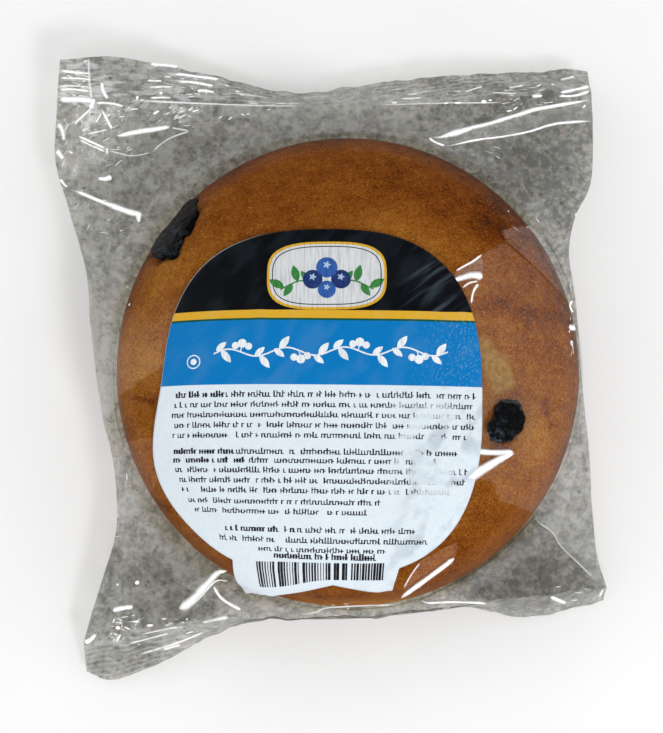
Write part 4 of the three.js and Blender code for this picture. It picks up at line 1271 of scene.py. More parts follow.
def crease_highlight_material(settings):
    """Painted, faintly glowing highlights of the film's creases, which fade out to clear film at their ends.
    """
    material, t = new_material("film_crease")
    # uneven brightness along the painted highlights
    wear_and_painted_light = t.step(t.noise(t.place(), 0.9), 0.3, 0.5, 0.75, 1.15)
    clear = t.add("ShaderNodeBsdfTransparent", {"Color": WHITE_LIGHT})
    bright = t.principled(linear(settings.crease_highlight), 0.25, 0.5, glow=0.3)
    shine = t.math("MULTIPLY", t.stored("shine"), wear_and_painted_light, clamp=True)
    t.surface(t.add("ShaderNodeMixShader", {0: shine, 1: clear, 2: bright}))
    return material


def label_material(settings):
    """Coated paper, its printed fields, painted sheen and shade, in flat label coordinates in millimetres."""
    material, t = new_material("label_paper")
    flat = t.stored("flat", "Vector")
    across, up, face = t.parts(flat)
    up = up - across * (across * PRINT_BOW - PRINT_SLOPE)
    colour = settings.paper_white
    for level, field in PRINTED_FIELDS:
        edge = t.step(up, level - 0.04, level + 0.04, smooth=False)
        colour = t.blend(edge, colour, getattr(settings, field))

    def wear_and_painted_light(turn, along, over, low, high, amount, detail=2.0):
        """A streak pattern for painted sheen and shade, by direction, length and width in millimetres."""
        place = t.add("ShaderNodeMapping", {
            "Vector": flat, "Rotation": (0, 0, turn), "Scale": (along, over, 1.0),
        }, vector_type="TEXTURE")
        noise = t.value("ShaderNodeTexNoise", {"Vector": place, "Scale": 1.0, "Detail": detail}, "Fac")
        return t.step(noise, low, high, 0.0, amount)

    # painted sheen in slanting streaks, and painted shade of crumpled paper at the right
    right = t.step(across + up * -0.2, 14.0, 32.0)
    on_black = t.step(up, 21.2, 21.3)
    on_paper = t.step(up, 3.6, 3.5)
    rays = wear_and_painted_light(0.65, 16.0, 1.7, 0.47, 0.72, 0.09, 3.0) * on_black * t.step(across, 16.0, 27.0)
    dull = wear_and_painted_light(0.9, 11.0, 5.0, 0.44, 0.70, 0.014) * on_black
    cloudy = wear_and_painted_light(0.9, 14.0, 7.0, 0.46, 0.68, 0.05) + wear_and_painted_light(1.1, 0.9, 0.5, 0.5, 0.7, 0.2, 3.0) * right
    sheen = rays + dull + cloudy * (1.0 - on_black)
    colour = t.blend(sheen, colour, settings.sheen)
    crumpled = wear_and_painted_light(0.8, 7.0, 4.5, 0.46, 0.66, 0.4, 3.0) * on_paper * right
    colour = t.blend(crumpled, colour, settings.paper_shade, "MULTIPLY")
    # paper white along the rim at the left, and the bare cut edge on the sides
    rim = t.step(t.stored("from_rim"), 0.08, 0.22, 0.6, 0.0, False) * t.step(across, -10.0, -22.0)
    colour = t.blend(rim, colour, settings.paper_white)
    colour = t.blend(t.step(face, 0.5, 0.995, smooth=False), settings.paper_white, colour)
    place = t.place()
    colour = t.blend(t.spread(t.noise(place, 1.2, 3.0), 0.0, 0.07), colour, settings.fibre, "MULTIPLY")
    bump = t.bump(t.noise(place, 4.0, 3.0), 0.12, 0.2)
    t.surface(t.principled(colour, settings.paper_roughness, 0.12, bump))
    return material


def ink_material(settings):
    """Ink on the label, with faint wear and brushed lines, and hidden in part by the film's painted glare."""
    material, t = new_material("printed_ink")
    place = t.place()
    flat = t.stored("flat", "Vector")
    wear_and_painted_light = t.step(t.noise(place, 0.9, 3.0), 0.35, 0.75, 0.0, 0.07)
    colour = t.blend(wear_and_painted_light, t.stored("ink", "Color"), settings.worn_ink)
    lines = t.add("ShaderNodeMapping", {"Vector": flat, "Scale": (2.2, 0.16, 0.0)})
    brushed = t.value("ShaderNodeTexNoise", {"Vector": lines, "Scale": 1.0, "Detail": 2.0}, "Fac")
    colour = t.blend(t.step(brushed, 0.42, 0.66, 0.0, 0.3), colour, settings.brushed_ink, "MULTIPLY")
    across, up, _face = t.parts(flat)
    glare_x, glare_y = GLARE_CENTRE
    beside = t.step(t.math("ABSOLUTE", across - glare_x), 10.0, 5.0)
    above = t.step(t.math("ABSOLUTE", up - glare_y), 14.0, 8.0)
    glare = beside * above * t.step(t.noise(place, 5.0), 0.42, 0.58, 0.0, 0.85)
    colour = t.blend(glare, colour, settings.paper_white)
    t.surface(t.principled(colour, settings.paper_roughness, 0.12))
    return material


def crumb_material(settings):
    material, t = new_material("loose_crumb")
    colour = t.ramp(t.noise(t.place(), 0.8), [(0.3, settings.loose_dark), (0.7, settings.loose_pale)])
    t.surface(t.principled(colour, 0.75, 0.5))
    return material


def floor_material(settings):
    material, t = new_material("pale_floor")
    lighter = [min(c * 1.012, 1) for c in settings.floor_colour]
    colour = t.blend(t.step(t.noise(t.place(), 60.0, 3.0), *NOISE_RANGE), settings.floor_colour, lighter)
    t.surface(t.principled(colour, 0.8, 0.2, glow=0.1))
    return material


# ======== geometry node groups
def new_group(name, inputs):
    """A geometry node group with named inputs and the usual geometry in and out."""
    group = bpy.data.node_groups.new(name, "GeometryNodeTree")
    group.interface.new_socket("Geometry", in_out="INPUT", socket_type="NodeSocketGeometry")
    for label, kind, value in inputs + [("Material", "Material", None)]:
        socket = group.interface.new_socket(label, in_out="INPUT", socket_type="NodeSocket" + kind)
        if value is not None:
            socket.default_value = value
    group.interface.new_socket("Geometry", in_out="OUTPUT", socket_type="NodeSocketGeometry")
    tree = Tree(group)
    return group, tree, {s.name: Value(tree, s) for s in tree.add("NodeGroupInput").outputs if s.name}


def end_group(tree, given, geometry):
    """Ends a group with its instances made real and its material set."""
    realized = tree.add("GeometryNodeRealizeInstances", {0: geometry})
    finished = tree.add("GeometryNodeSetMaterial", {"Geometry": realized, "Material": given["Material"]})
    output = tree.add("NodeGroupOutput")
    tree.feed(output.inputs[0], finished)


def run_group(made, group, values):
    """Runs a node group on an object and leaves its result as the object's plain mesh."""
    modifier = made.modifiers.new(group.name, "NODES")
    modifier.node_group = group
    for item in group.interface.items_tree:
        if item.item_type == "SOCKET" and item.in_out == "INPUT" and item.name in values:
            modifier[item.identifier] = values[item.name]
    bpy.context.view_layer.update()
    evaluated = made.evaluated_get(bpy.context.evaluated_depsgraph_get())
    result = bpy.data.meshes.new_from_object(evaluated)
    made.modifiers.remove(modifier)
    old = made.data
    made.data = result
    bpy.data.meshes.remove(old)
    if not result.polygons:
        raise RuntimeError(f"{group.name} made no faces")
    return made


def crimp_group():
    """Presses parallel ribs into the seals, along a direction kept on each vertex."""
    group, t, given = new_group("seal_crimp", [
        ("Pitch", "Float", 1.6), ("Height", "Float", 0.2),
    ])
    wave = t.math("SINE", t.math("DIVIDE", t.named("rib_across", "FLOAT"), given["Pitch"]) * (2 * math.pi))
    size = wave * t.named("rib_mask", "FLOAT") * (given["Height"] * (0.5 * MM))
    offset = t.scaled(t.named("rib_direction"), size)
    end_group(t, given, t.add("GeometryNodeSetPosition", {"Geometry": given["Geometry"], "Offset": offset}))
    return group


def crumb_group():
    """Scatters small rough crumbs over a surface."""
    group, t, given = new_group("loose_crumbs", [
        ("Density", "Float", 1000.0), ("Smallest", "Float", 0.0003), ("Largest", "Float", 0.0009),
        ("Seed", "Int", 4),
    ])
    smallest, largest = given["Smallest"], given["Largest"]
    places = t.add("GeometryNodeDistributePointsOnFaces", {
        "Mesh": given["Geometry"], "Density": given["Density"], "Seed": given["Seed"],
    })
    place = t.add("GeometryNodeInputPosition")
    lump = t.value("ShaderNodeTexNoise", {"Vector": place, "Scale": 1.7, "Detail": 2.0}, "Fac")
    rough = t.add("GeometryNodeSetPosition", {
        "Geometry": t.add("GeometryNodeMeshIcoSphere", {"Radius": 1.0, "Subdivisions": 2}),
        "Offset": t.scaled(place, t.spread(lump, -0.45, 0.35)),
    })
    turn = t.add("FunctionNodeRandomValue", {
        "Min": (0, 0, 0), "Max": (FULL_TURN, FULL_TURN, FULL_TURN), "Seed": 11,
    }, data_type="FLOAT_VECTOR")
    size = t.add("FunctionNodeRandomValue", {
        "Min": t.xyz(smallest, smallest, smallest), "Max": t.xyz(largest, largest, smallest),
    }, data_type="FLOAT_VECTOR")
    end_group(t, given, t.add("GeometryNodeInstanceOnPoints", {
        "Points": places.outputs["Points"], "Instance": rough, "Rotation": turn, "Scale": size,
    }))
    return group


def rows_group():
    """Rows of short upright marks of uneven size, with small cross marks and gaps, for small print."""
    group, t, given = new_group("print_rows", [
        ("Columns", "Int", 40), ("Step", "Float", 0.001), ("Thinnest", "Float", 0.0002),
        ("Widest", "Float", 0.0004), ("Tall", "Float", 0.001), ("Taller", "Float", 0.3),
        ("Gaps", "Float", 0.18), ("Cross Marks", "Bool", True), ("Detail", "Int", 2), ("Seed", "Int", 1),
        ("Thickness", "Float", 0.0001),
    ])
    step, tall, thickness = given["Step"], given["Tall"], given["Thickness"]

    def draw(kind, extra, **inputs):
        node = t.add("FunctionNodeRandomValue", {"Seed": given["Seed"] + extra}, data_type=kind)
        for key, value in inputs.items():
            t.feed([s for s in node.inputs if s.name == key and s.enabled][0], value)
        return Value(t, [s for s in node.outputs if s.enabled][0])

    line = t.add("GeometryNodeMeshLine", {
        "Count": given["Columns"], "Start Location": t.xyz((given["Columns"] - 1.0) * step * -0.5),
        "Offset": t.xyz(step),
    })
    kept = t.add("GeometryNodeDeleteGeometry", {
        "Geometry": t.add("GeometryNodeMeshToPoints", {"Mesh": line}),
        "Selection": draw("BOOLEAN", 1.0, Probability=given["Gaps"]),
    }, domain="POINT")
    block = t.add("GeometryNodeMeshCube", {"Size": (1, 1, 1), "Vertices Y": given["Detail"]})

    def marks(offset, size, selection=None):
        moved = t.add("GeometryNodeSetPosition", {"Geometry": kept, "Offset": offset})
        return t.add("GeometryNodeInstanceOnPoints", {
            "Points": moved, "Selection": selection, "Instance": block, "Scale": size,
        })

    width = draw("FLOAT", 7.0, Min=given["Thinnest"], Max=given["Widest"])
    height = tall * (draw("BOOLEAN", 13.0, Probability=0.24) * given["Taller"] + 1.0)
    level = t.math("ROUND", draw("FLOAT", 23.0, Min=-1.4, Max=1.4)) * (tall * 0.4)
    both = t.add("GeometryNodeJoinGeometry")
    t.feed(both.inputs[0], marks(t.xyz(None, (height - tall) * 0.5), t.xyz(width, height, thickness)))
    t.feed(both.inputs[0], marks(t.xyz(step * 0.45, level), t.xyz(step * 0.6, tall * 0.22, thickness),
                                 given["Cross Marks"]))
    end_group(t, given, both)
    return group


# ======== printed shapes, flat
def closed_round(outline, low, high, rings, middle=None):
    """A thin flat plate as a closed round form: flat places, heights and triangles."""
    outline = np.asarray(outline, dtype=float)
    middle = outline.mean(axis=0) if middle is None else np.array(middle, dtype=float)
    spread = [middle + share * (outline - middle) for share in np.linspace(0, 1, rings + 1)[1:]]
    flat = np.vstack([middle[None]] + spread + spread[::-1] + [middle[None]])
    half = 1 + rings * len(outline)
    lift = np.concatenate([np.full(half, low), np.full(half, high)])
    return flat, lift, round_faces(2 * rings, len(outline))


def turned(x, y, centre, turn):
    """Flat places turned by degrees and moved to a centre."""
    c, s = math.cos(math.radians(turn)), math.sin(math.radians(turn))
    return np.stack([centre[0] + x * c - y * s, centre[1] + x * s + y * c], -1)


def ellipse(centre, half_width, half_height, count=24, power=2.0):
    """A round outline, squarer for a higher power."""
    angle = np.linspace(0, 2 * math.pi, count, endpoint=False)
    c, s = np.cos(angle), np.sin(angle)
    x = half_width * np.sign(c) * np.abs(c) ** (2 / power)
    y = half_height * np.sign(s) * np.abs(s) ** (2 / power)
    return np.stack([centre[0] + x, centre[1] + y], -1)


def leaf(base, length, width, turn, count=14):
    """A pointed leaf that grows from its base in the direction of its turn."""
    t = np.linspace(0, 1, count)
    bulge = width / 2 * np.sin(math.pi * t) ** 0.8 * (1.15 - 0.3 * t)
    x = np.concatenate([t * length, t[-2:0:-1] * length])
    y = np.concatenate([-bulge, bulge[-2:0:-1]])
    return turned(x, y, base, turn)


def ribbon(path, width, low, high):
    """A thin line of even width along a path, closed at its ends."""
    path = np.asarray(path, dtype=float)
    along = unit(np.gradient(path, axis=0))
    right = np.stack([along[:, 1], -along[:, 0]], -1) * width / 2
    flat = np.stack([path + right, path + right, path - right, path - right], 1).reshape(-1, 2)
    middle = (low + high) / 2
    flat = np.vstack([path[:1], flat, path[-1:]])
    lift = np.concatenate([[middle], np.tile([high, low, low, high], len(path)), [middle]])
    return flat, lift, round_faces(len(path), 4)


class Print:
    """Gathers inked shapes into one mesh that lies on the label."""

    LOW = 0.06
    LAYER = 0.025

    def __init__(self):
        self.parts = []

    def take(self, flat, lift, faces, ink):
        places = np.column_stack([flat, lift])
        a, b, c = places[faces].transpose(1, 0, 2)
        volume = (a * np.cross(b, c)).sum()
        inks = np.tile(linear(ink)[:3], (len(flat), 1))
        self.parts.append((places, faces if volume > 0 else faces[:, ::-1], inks))

    def top(self, layer):
        return LABEL_THICKNESS + self.LAYER * layer

    def shape(self, outline, ink, layer=1, rings=1):
        self.take(*closed_round(outline, self.LOW, self.top(layer), rings), ink)

    def line(self, path, width, ink, layer=1):
        self.take(*ribbon(path, width, self.LOW, self.top(layer)), ink)

    def ring(self, outline, width, ink, layer=1):
        self.line(np.vstack([outline, outline[:2]]), width, ink, layer)

    def blocks(self, points, quads, ink, layer=1):
        """Takes blocks made by a node group, whose corners above 0 become their tops."""
        lift = np.where(points[:, 2] > 0, self.top(layer), self.LOW)
        self.take(points[:, :2], lift, halves(quads), ink)

    def make(self, name, material):
        places, faces, inks = joined(self.parts)
        flat = places[:, :2]
        made = mesh_object(name, film_form().label.place(flat, places[:, 2]), faces, smooth=False)
        store(made, "ink", inks)
        store(made, "flat", np.column_stack([flat, np.zeros(len(flat))]))
        finish_piece(made, material)


MADE = {}


def film_form():
    if "film" not in MADE:
        film = bpy.context.scene.muffin_film
        MADE["film"] = FilmForm(film.clearance / MM, film.crumple)
    return MADE["film"]


# ======== the pieces
def make_muffin():
    points, normal = muffin_points()
    shaped = pressed_by_film(points - normal * crust_relief(points)[:, None], -0.05)
    shaped[:, 2] = np.maximum(shaped[:, 2], 0.25)
    made = mesh_object("muffin", shaped, round_faces(MUFFIN_ROWS - 1, MUFFIN_COLUMNS))
    store(made, "bake", crust_tone(points))
    store(made, "crumb", crumb_tone(points))
    store(made, "stain", stain_tone(points))
    finish_piece(made, crust_material(bpy.context.scene.muffin_crust), replaced="bag")


def make_berries():
    material = berry_material(bpy.context.scene.muffin_crust)
    for name, lobes, seed, bloom in BERRIES:
        points, faces, wrinkles = berry_form(lobes, seed)
        made = mesh_object(name, points, faces)
        middle = np.mean([centre for centre, _radius in lobes], axis=0)
        lower_left = (middle - points)[:, :2].sum(axis=1) / 6
        store(made, "wrinkle", wrinkles)
        store(made, "bloom", np.clip(bloom * smoothstep(-0.5, 0.9, lower_left) + 0.12, 0, 1))
        finish_piece(made, material)


# Regions of loose crumbs: name, x from and to, y from and to, and crumbs per square metre. They lie on
# the lower sheet, away from the muffin.
CRUMB_REGIONS = (
    ("crumbs_lower_left", -90, -36, -52, -12, 14000.0), ("crumbs_upper_left", -90, -30, 34, 60, 11000.0),
    ("crumbs_right", 34, 90, 30, 58, 8000.0),
)
CRUMBS_BEYOND, CRUMBS_BELOW, CRUMBS_LIFT = 41, 17.5, 0.45


def make_crumbs():
    material = crumb_material(bpy.context.scene.muffin_crust)
    group = crumb_group()
    under = film_form().sheets[1]["grid"]
    x, y, z = under[..., 0], under[..., 1], under[..., 2]
    low = (np.hypot(x, y) > CRUMBS_BEYOND) & (z < CRUMBS_BELOW)
    quads = grid_quads(*under.shape[:2])
    flat = under.reshape(-1, 3) + [0, 0, CRUMBS_LIFT]
    for name, left, right, near, far, density in CRUMB_REGIONS:
        region = low & (x > left) & (x < right) & (y > near) & (y < far)
        kept = quads[region.ravel()[quads].all(axis=1)]
        if not len(kept):
            raise RuntimeError(f"{name} has nowhere to lie")
        used, faces = np.unique(kept, return_inverse=True)
        made = mesh_object(name, flat[used], faces.reshape(kept.shape))
        run_group(made, group, {
            "Density": density, "Smallest": 0.0002, "Largest": 0.0006, "Seed": 5, "Material": material,
        })
        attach(made, BODY)


def make_film():
    settings = bpy.context.scene.muffin_film
    material = film_material(settings)
    sheets = film_form().sheets
    rows, columns = sheets[0]["grid"].shape[:2]
    count = rows * columns
    points, direction = (np.concatenate([sheet[key].reshape(-1, 3) for sheet in sheets])
                         for key in ("grid", "direction"))
    # the two sheets share the folded sides of the bag and are joined round the ends of the seals
    index = np.arange(count).reshape(rows, columns)
    rim = np.concatenate([index[0, :], index[1:, -1], index[-1, -2::-1], index[-2:0:-1, 0]])
    following = np.roll(rim, -1)
    walls = np.stack([rim, rim + count, following + count, following], -1)
    together = np.linalg.norm(points[rim] - points[rim + count], axis=1) < 1e-6
    merged = np.arange(2 * count)
    merged[rim[together] + count] = rim[together]
    lower = grid_quads(rows, columns, count, turned=True)
    faces = merged[np.vstack([grid_quads(rows, columns), lower, walls])]
    distinct = (faces != np.roll(faces, 1, axis=1)).all(axis=1)
    made = mesh_object("film_bag", points, faces[distinct])
    # ribs of the seals, which are pressed unevenly
    across = np.concatenate([sheet["across"].ravel() for sheet in sheets])
    pressed = 0.5 + 0.5 * value_noise(points * [0.6, 1, 1], 14.0, 301)
    mask = smoothstep(1.0, 2.5, across) * (across >= 0) * (0.25 + 0.75 * smoothstep(0.3, 0.7, pressed))
    store(made, "rib_across", across)
    store(made, "rib_mask", mask)
    store(made, "rib_direction", direction)
    store(made, "seal", np.where(across >= 0, smoothstep(0, 2, across), 0))
    # tone of the lower sheet, the film on the cap, and painted glitter on the crumpled upper sheet
    xy = points[:, :2]
    x, y = xy.T
    on_lower = np.repeat([0.0, 1.0], count)
    store(made, "lower_sheet", on_lower)
    # painted light and shade of the lower sheet, and a little darker along the upper seal
    store(made, "pale", spots(xy, PALE_SPOTS) - 0.05 * smoothstep(74, 79, y))
    over_cap = (1 - smoothstep(58.5, 61.5, cap_radius(points))) * smoothstep(24, 30, points[:, 2])
    store(made, "cling", over_cap)
    crumpled = spots(xy, PAINTED_GLITTER_SPOTS) + 0.35 * smoothstep(76, 79, y) * smoothstep(20, -40, x)
    store(made, "crumpled", np.clip(crumpled, 0, 1) * (1 - on_lower))
    # painted reflections, by their distance inside each level's outlines
    milky = np.array([np.max([inside_distance(xy, outline) for outline in level], axis=0) for level in REFLECTION_VEILS])
    faded = np.minimum(inside_distance(xy, LEFT_REFLECTION_VEIL), 0.02 * (LEFT_REFLECTION_TOP - y) - REFLECTION_EDGE)
    milky[1] = np.maximum(milky[1], faded)
    milky = milky - 40 * smoothstep(0.45, 0.6, spot(xy, BERRY_CONTACT, 5.4))
    store(made, "veil", np.where(on_lower, -9.0, milky).T)
    run_group(made, crimp_group(), {
        "Pitch": settings.crimp_pitch / MM, "Height": settings.crimp_height / MM, "Material": material,
    })
    loose_points_removed(made)
    finish_piece(made, material, "bag")


def loose_points_removed(made):
    """Drops vertices that no face uses."""
    shape = bmesh.new()
    shape.from_mesh(made.data)
    bmesh.ops.delete(shape, geom=[v for v in shape.verts if not v.link_faces], context="VERTS")
    shape.to_mesh(made.data)
    shape.free()


def evened(values, reach=4):
    """A running mean along a line."""
    padded = np.concatenate([values[:1]] * reach + [values] + [values[-1:]] * reach)
    return np.mean([padded[k:k + len(values)] for k in range(2 * reach + 1)], axis=0)


def crease_highlight_strip(top, crease_highlight, seed):
    """A painted highlight along a fold, as a low closed strip that tapers at its ends, with its brightness.
    """
    start, end, _height, shine, *places = crease_highlight
    points = np.reshape(places, (-1, 2))
    length = np.linalg.norm(np.diff(points, axis=0), axis=1).sum()
    path = catmull_rom(points, max(8, int(length / 0.4)))
    found = [place for place in (top.over(x, y) for x, y in path) if place]
    if len(found) < 4:
        raise RuntimeError(f"crease {seed} lies off the film")
    middle, normal = (np.array(column) for column in zip(*found))
    middle[:, 2] = np.maximum(middle[:, 2], evened(middle[:, 2]))
    middle = evened(middle, 2)
    normal = unit(evened(normal))
    across = unit(np.cross(unit(np.gradient(middle, axis=0)), normal))
    t = np.linspace(0, 1, len(middle))
    uneven = 1 + 0.16 * value_noise(middle, 3.0, 400 + seed) + 0.06 * value_noise(middle, 0.9, 430 + seed)
    taper = np.minimum(smoothstep(-0.04, 0.16, t), smoothstep(-0.04, 0.12, 1 - t))
    half = ((start + (end - start) * t) * uneven * (0.25 + 0.75 * taper) * CREASE_HIGHLIGHT_WIDTH)[:, None]
    glow = shine * (0.95 + 0.3 * value_noise(middle, 3.1, 460 + seed)) * taper
    ring = [middle + side * half * across + rise * normal for side, rise, _glow in CREASE_HIGHLIGHT_RING]
    places = np.vstack([middle[:1], np.stack(ring, 1).reshape(-1, 3), middle[-1:]])
    glows = np.stack([share * glow for _side, _rise, share in CREASE_HIGHLIGHT_RING], 1)
    return places, round_faces(len(middle), len(CREASE_HIGHLIGHT_RING)), np.concatenate([[0.0], glows.ravel(), [0.0]])


def crinkle_glint_group():
    """Painted glints as small bright splinters at kept places, each with its own turn and size."""
    group, t, given = new_group("fine_crinkles", [("Detail", "Int", 1)])
    splinters = t.add("GeometryNodeInstanceOnPoints", {
        "Points": t.add("GeometryNodeMeshToPoints", {"Mesh": given["Geometry"]}),
        "Instance": t.add("GeometryNodeMeshIcoSphere", {"Radius": 0.5, "Subdivisions": given["Detail"]}),
        "Rotation": t.named("turn"), "Scale": t.named("size"),
    })
    end_group(t, given, splinters)
    return group


def crinkle_glint_places(top):
    """Places, turns, sizes and brightness of the single painted glints and of the glints in each zone."""
    wanted = [(x, y, long, wide, math.radians(turn), 0.95) for x, y, long, wide, turn in GLINTS]
    for zone, ((cx, cy), (hx, hy), count, main, spread) in enumerate(CRINKLE_GLINT_ZONES):
        draw = lattice_random(np.arange(count)[:, None], np.arange(7)[None], np.full((count, 7), zone), 509)
        for a, b, c, d, e, f, g in draw:
            x = cx + hx * (a + b - 1)
            y = cy + hy * (2 * c - 1)
            turn = math.radians(main + spread * (2 * d - 1))
            wanted.append((x, y, 0.6 + 2.6 * e * e, 0.14 + 0.3 * f * f, turn, 0.2 + 0.6 * g * g))
    places, turns, sizes, shines = [], [], [], []
    for x, y, long, wide, turn, shine in wanted:
        found = top.over(x, y)
        if not found:
            continue
        place, normal = found
        along = np.array([math.cos(turn), math.sin(turn), 0])
        along = unit(along - normal * (along @ normal))
        frame_axes = Matrix((along, np.cross(normal, along), normal)).transposed()
        places.append(place + normal * 0.06)
        turns.append(frame_axes.to_euler()[:])
        sizes.append((long * MM, 0.85 * wide * MM, 0.14 * MM))
        shines.append(shine)
    return np.array(places), turns, sizes, shines


# painted highlights along the creases and painted glints of the crinkles
def make_crease_highlights():
    material = crease_highlight_material(bpy.context.scene.muffin_film)
    top = SheetTop(film_form().sheets[0]["grid"])
    points, faces, shine = joined([crease_highlight_strip(top, crease_highlight, seed) for seed, crease_highlight in enumerate(CREASES)])
    made = mesh_object("film_creases", points, faces)
    store(made, "shine", np.clip(shine, 0, 1))
    finish_piece(made, material)
    places, turns, sizes, shines = crinkle_glint_places(top)
    fine = mesh_object("film_crinkles", places, np.empty((0, 3)))
    store(fine, "turn", turns)
    store(fine, "size", sizes)
    store(fine, "shine", shines)
    run_group(fine, crinkle_glint_group(), {"Detail": 1, "Material": material})
    finish_piece(fine, material)


def make_label():
    angles = np.radians(np.concatenate([np.arange(*TAB_ANGLES, 0.5), np.arange(*ROUND_ANGLES, 1.25)]))
    rays = np.stack([np.cos(angles), np.sin(angles)], -1)
    reach = label_reach(np.arctan2(rays[:, 1], rays[:, 0]))
    flat, lift, faces = closed_round(reach[:, None] * rays, 0.0, LABEL_THICKNESS, LABEL_RINGS, (0, 0))
    made = mesh_object("label_sheet", film_form().label.place(flat, lift), faces)
    store(made, "flat", np.column_stack([flat, lift / LABEL_THICKNESS]))
    inwards = 1 - np.linspace(0, 1, LABEL_RINGS + 1)[1:]
    from_rim = np.concatenate([[FAR_FROM_RIM], (inwards[:, None] * reach).ravel()])
    store(made, "from_rim", np.concatenate([from_rim, from_rim[::-1]]))
    finish_piece(made, label_material(bpy.context.scene.muffin_label), "label")


def make_badge():
    """A pale plaque with a gold rim and a sprig of berries."""
    settings = bpy.context.scene.muffin_label
    badge = Print()

    def plaque(half_width, half_height):
        return ellipse(BADGE_CENTRE, half_width, half_height, count=96, power=3.2)

    badge.shape(plaque(14.0, 8.4), settings.gold_line, 1, rings=10)
    badge.shape(plaque(13.4, 7.8), settings.badge_pale, 2, rings=10)
    badge.ring(plaque(12.7, 7.15), 0.22, settings.badge_line, 3)
    badge.line(catmull_rom(SPRIG_STEM, 40), 0.34, settings.leaf_green, 3)
    for base, length, width, turn in SPRIG_LEAVES:
        badge.shape(leaf(base, length, width, turn), settings.leaf_green, 3, rings=2)
    for centre, radius, ink in SPRIG_BERRIES:
        badge.shape(ellipse(centre, radius, radius, count=30), getattr(settings, ink), 4, rings=2)
        crown = [(centre[0] + radius * k * math.cos(a), centre[1] + radius * k * math.sin(a) + 0.25 * radius)
                 for a, k in zip(np.linspace(0, 2 * math.pi, 10, endpoint=False), [0.42, 0.2] * 5)]
        badge.shape(crown, settings.berry_crown, 5)
    badge.make("label_badge", ink_material(settings))


def make_ornament():
    """A white garland of leaves and berries on the blue field, with a small ring beside it."""
    settings = bpy.context.scene.muffin_label
    white = settings.ornament
    garland = Print()

    def wave(place):
        return GARLAND_MIDDLE + GARLAND_SWING * np.sin((place - GARLAND_LEFT) * 2 * math.pi / GARLAND_WAVE)

    stem = np.linspace(GARLAND_LEFT, GARLAND_RIGHT, 110)
    garland.line(np.stack([stem, wave(stem)], -1), 0.36, white)
    for k in range(12):
        place = -23.2 + 4.55 * k
        height = wave(place)
        side = 1 if k % 2 else -1
        if k % 3 == 1:
            for aside, above, radius in ((0.4, 2.0, 1.05), (-1.2, 1.55, 0.85), (1.9, 1.25, 0.85)):
                middle = (place + aside, height + side * above)
                garland.shape(ellipse(middle, radius, radius, count=18), white)
            garland.line([(place, height), (place + 0.4, height + side * 1.6)], 0.26, white)
        else:
            garland.shape(leaf((place, height), 3.7, 1.65, side * 52), white, rings=2)
            garland.shape(leaf((place - 1.2, height), 3.1, 1.4, -side * 40), white, rings=2)
    garland.ring(ellipse(RING_CENTRE, 1.55, 1.55, count=28), 0.28, white)
    garland.shape(ellipse(RING_CENTRE, 0.75, 0.75, count=16), white)
    garland.make("label_ornament", ink_material(settings))


# Lines of small print in flat coordinates: (height, left, right, tall, heavy part's right end).
PRINT_LINES = [
    (1.15, -34.5, 36, 1.25, -22.5), (-1.2, -35.1, 35.3, 1.15, None), (-3.55, -35.8, 35.8, 1.15, None),
    (-5.95, -35.8, 35.6, 1.15, None), (-8.3, -35.8, 35, 1.15, None), (-12.05, -35.8, 31.6, 1.2, -20),
    (-14.1, -35.8, 26.8, 1.15, -17), (-16.35, -35.4, 34.1, 1.15, None), (-18.7, -34.6, 33.7, 1.15, None),
    (-21, -34.2, 30.9, 1.15, None), (-23.6, -32.5, 13.7, 1.1, None), (-25.9, -31.1, 10.8, 1.1, None),
    (-30.1, -24, 22.3, 1.2, -6), (-32.6, -25.2, 25.4, 1.2, None), (-34.9, -15.5, 15.5, 1.1, None),
    (-36.5, -13, 13.2, 1.3, 13.2),
]


def cube_corners(group, values):
    """Corners of every block that a print node group makes, in flat millimetres."""
    holder = mesh_object("print_holder", [(0, 0, 0), (1, 0, 0), (0, 1, 0)], [(0, 1, 2)])
    run_group(holder, group, values)
    mesh = holder.data
    places = np.array([v.co[:] for v in mesh.vertices]) / MM
    quads = np.array([p.vertices[:] for p in mesh.polygons])
    bpy.data.objects.remove(holder)
    bpy.data.meshes.remove(mesh)
    return places, quads


def make_small_print():
    settings = bpy.context.scene.muffin_label
    material = ink_material(settings)
    group = rows_group()
    text = Print()
    for k, (height, left, right, tall, heavy_end) in enumerate(PRINT_LINES):
        heavy_end = heavy_end or left
        spans = ((left, heavy_end, BOLD_STROKE), (heavy_end, right, STROKE))
        for part, (start, end, widest) in enumerate(spans):
            if end - start < 2:
                continue
            corners, quads = cube_corners(group, {
                "Columns": int((end - start) / PRINT_STEP), "Step": PRINT_STEP * MM,
                "Thinnest": 0.6 * widest * MM, "Widest": widest * MM, "Tall": 0.84 * tall * MM,
                "Taller": 0.42, "Gaps": 0.15, "Seed": 31 * k + part * (heavy_end > left),
                "Material": material,
            })
            corners[:, 0] += (start + end) / 2
            corners[:, 1] += height + corners[:, 0] * (PRINT_BOW * corners[:, 0] - PRINT_SLOPE)
            text.blocks(corners, quads, settings.small_ink)
    bars, quads = cube_corners(group, {
        "Columns": 46, "Step": 0.68 * MM, "Thinnest": 0.16 * MM, "Widest": 0.72 * MM, "Tall": MM,
        "Taller": 0.0, "Gaps": 0.1, "Cross Marks": False, "Detail": 12, "Seed": 77, "Material": material,
    })
    bars[:, 0] -= 0.3
    bars[:, 1] = BARS_MIDDLE + (bars[:, 1] - 0.5) * (7.9 - 3.4 * smoothstep(-16, 3, bars[:, 0]))
    text.blocks(bars, quads, settings.bar_ink)
    text.make("label_print", material)


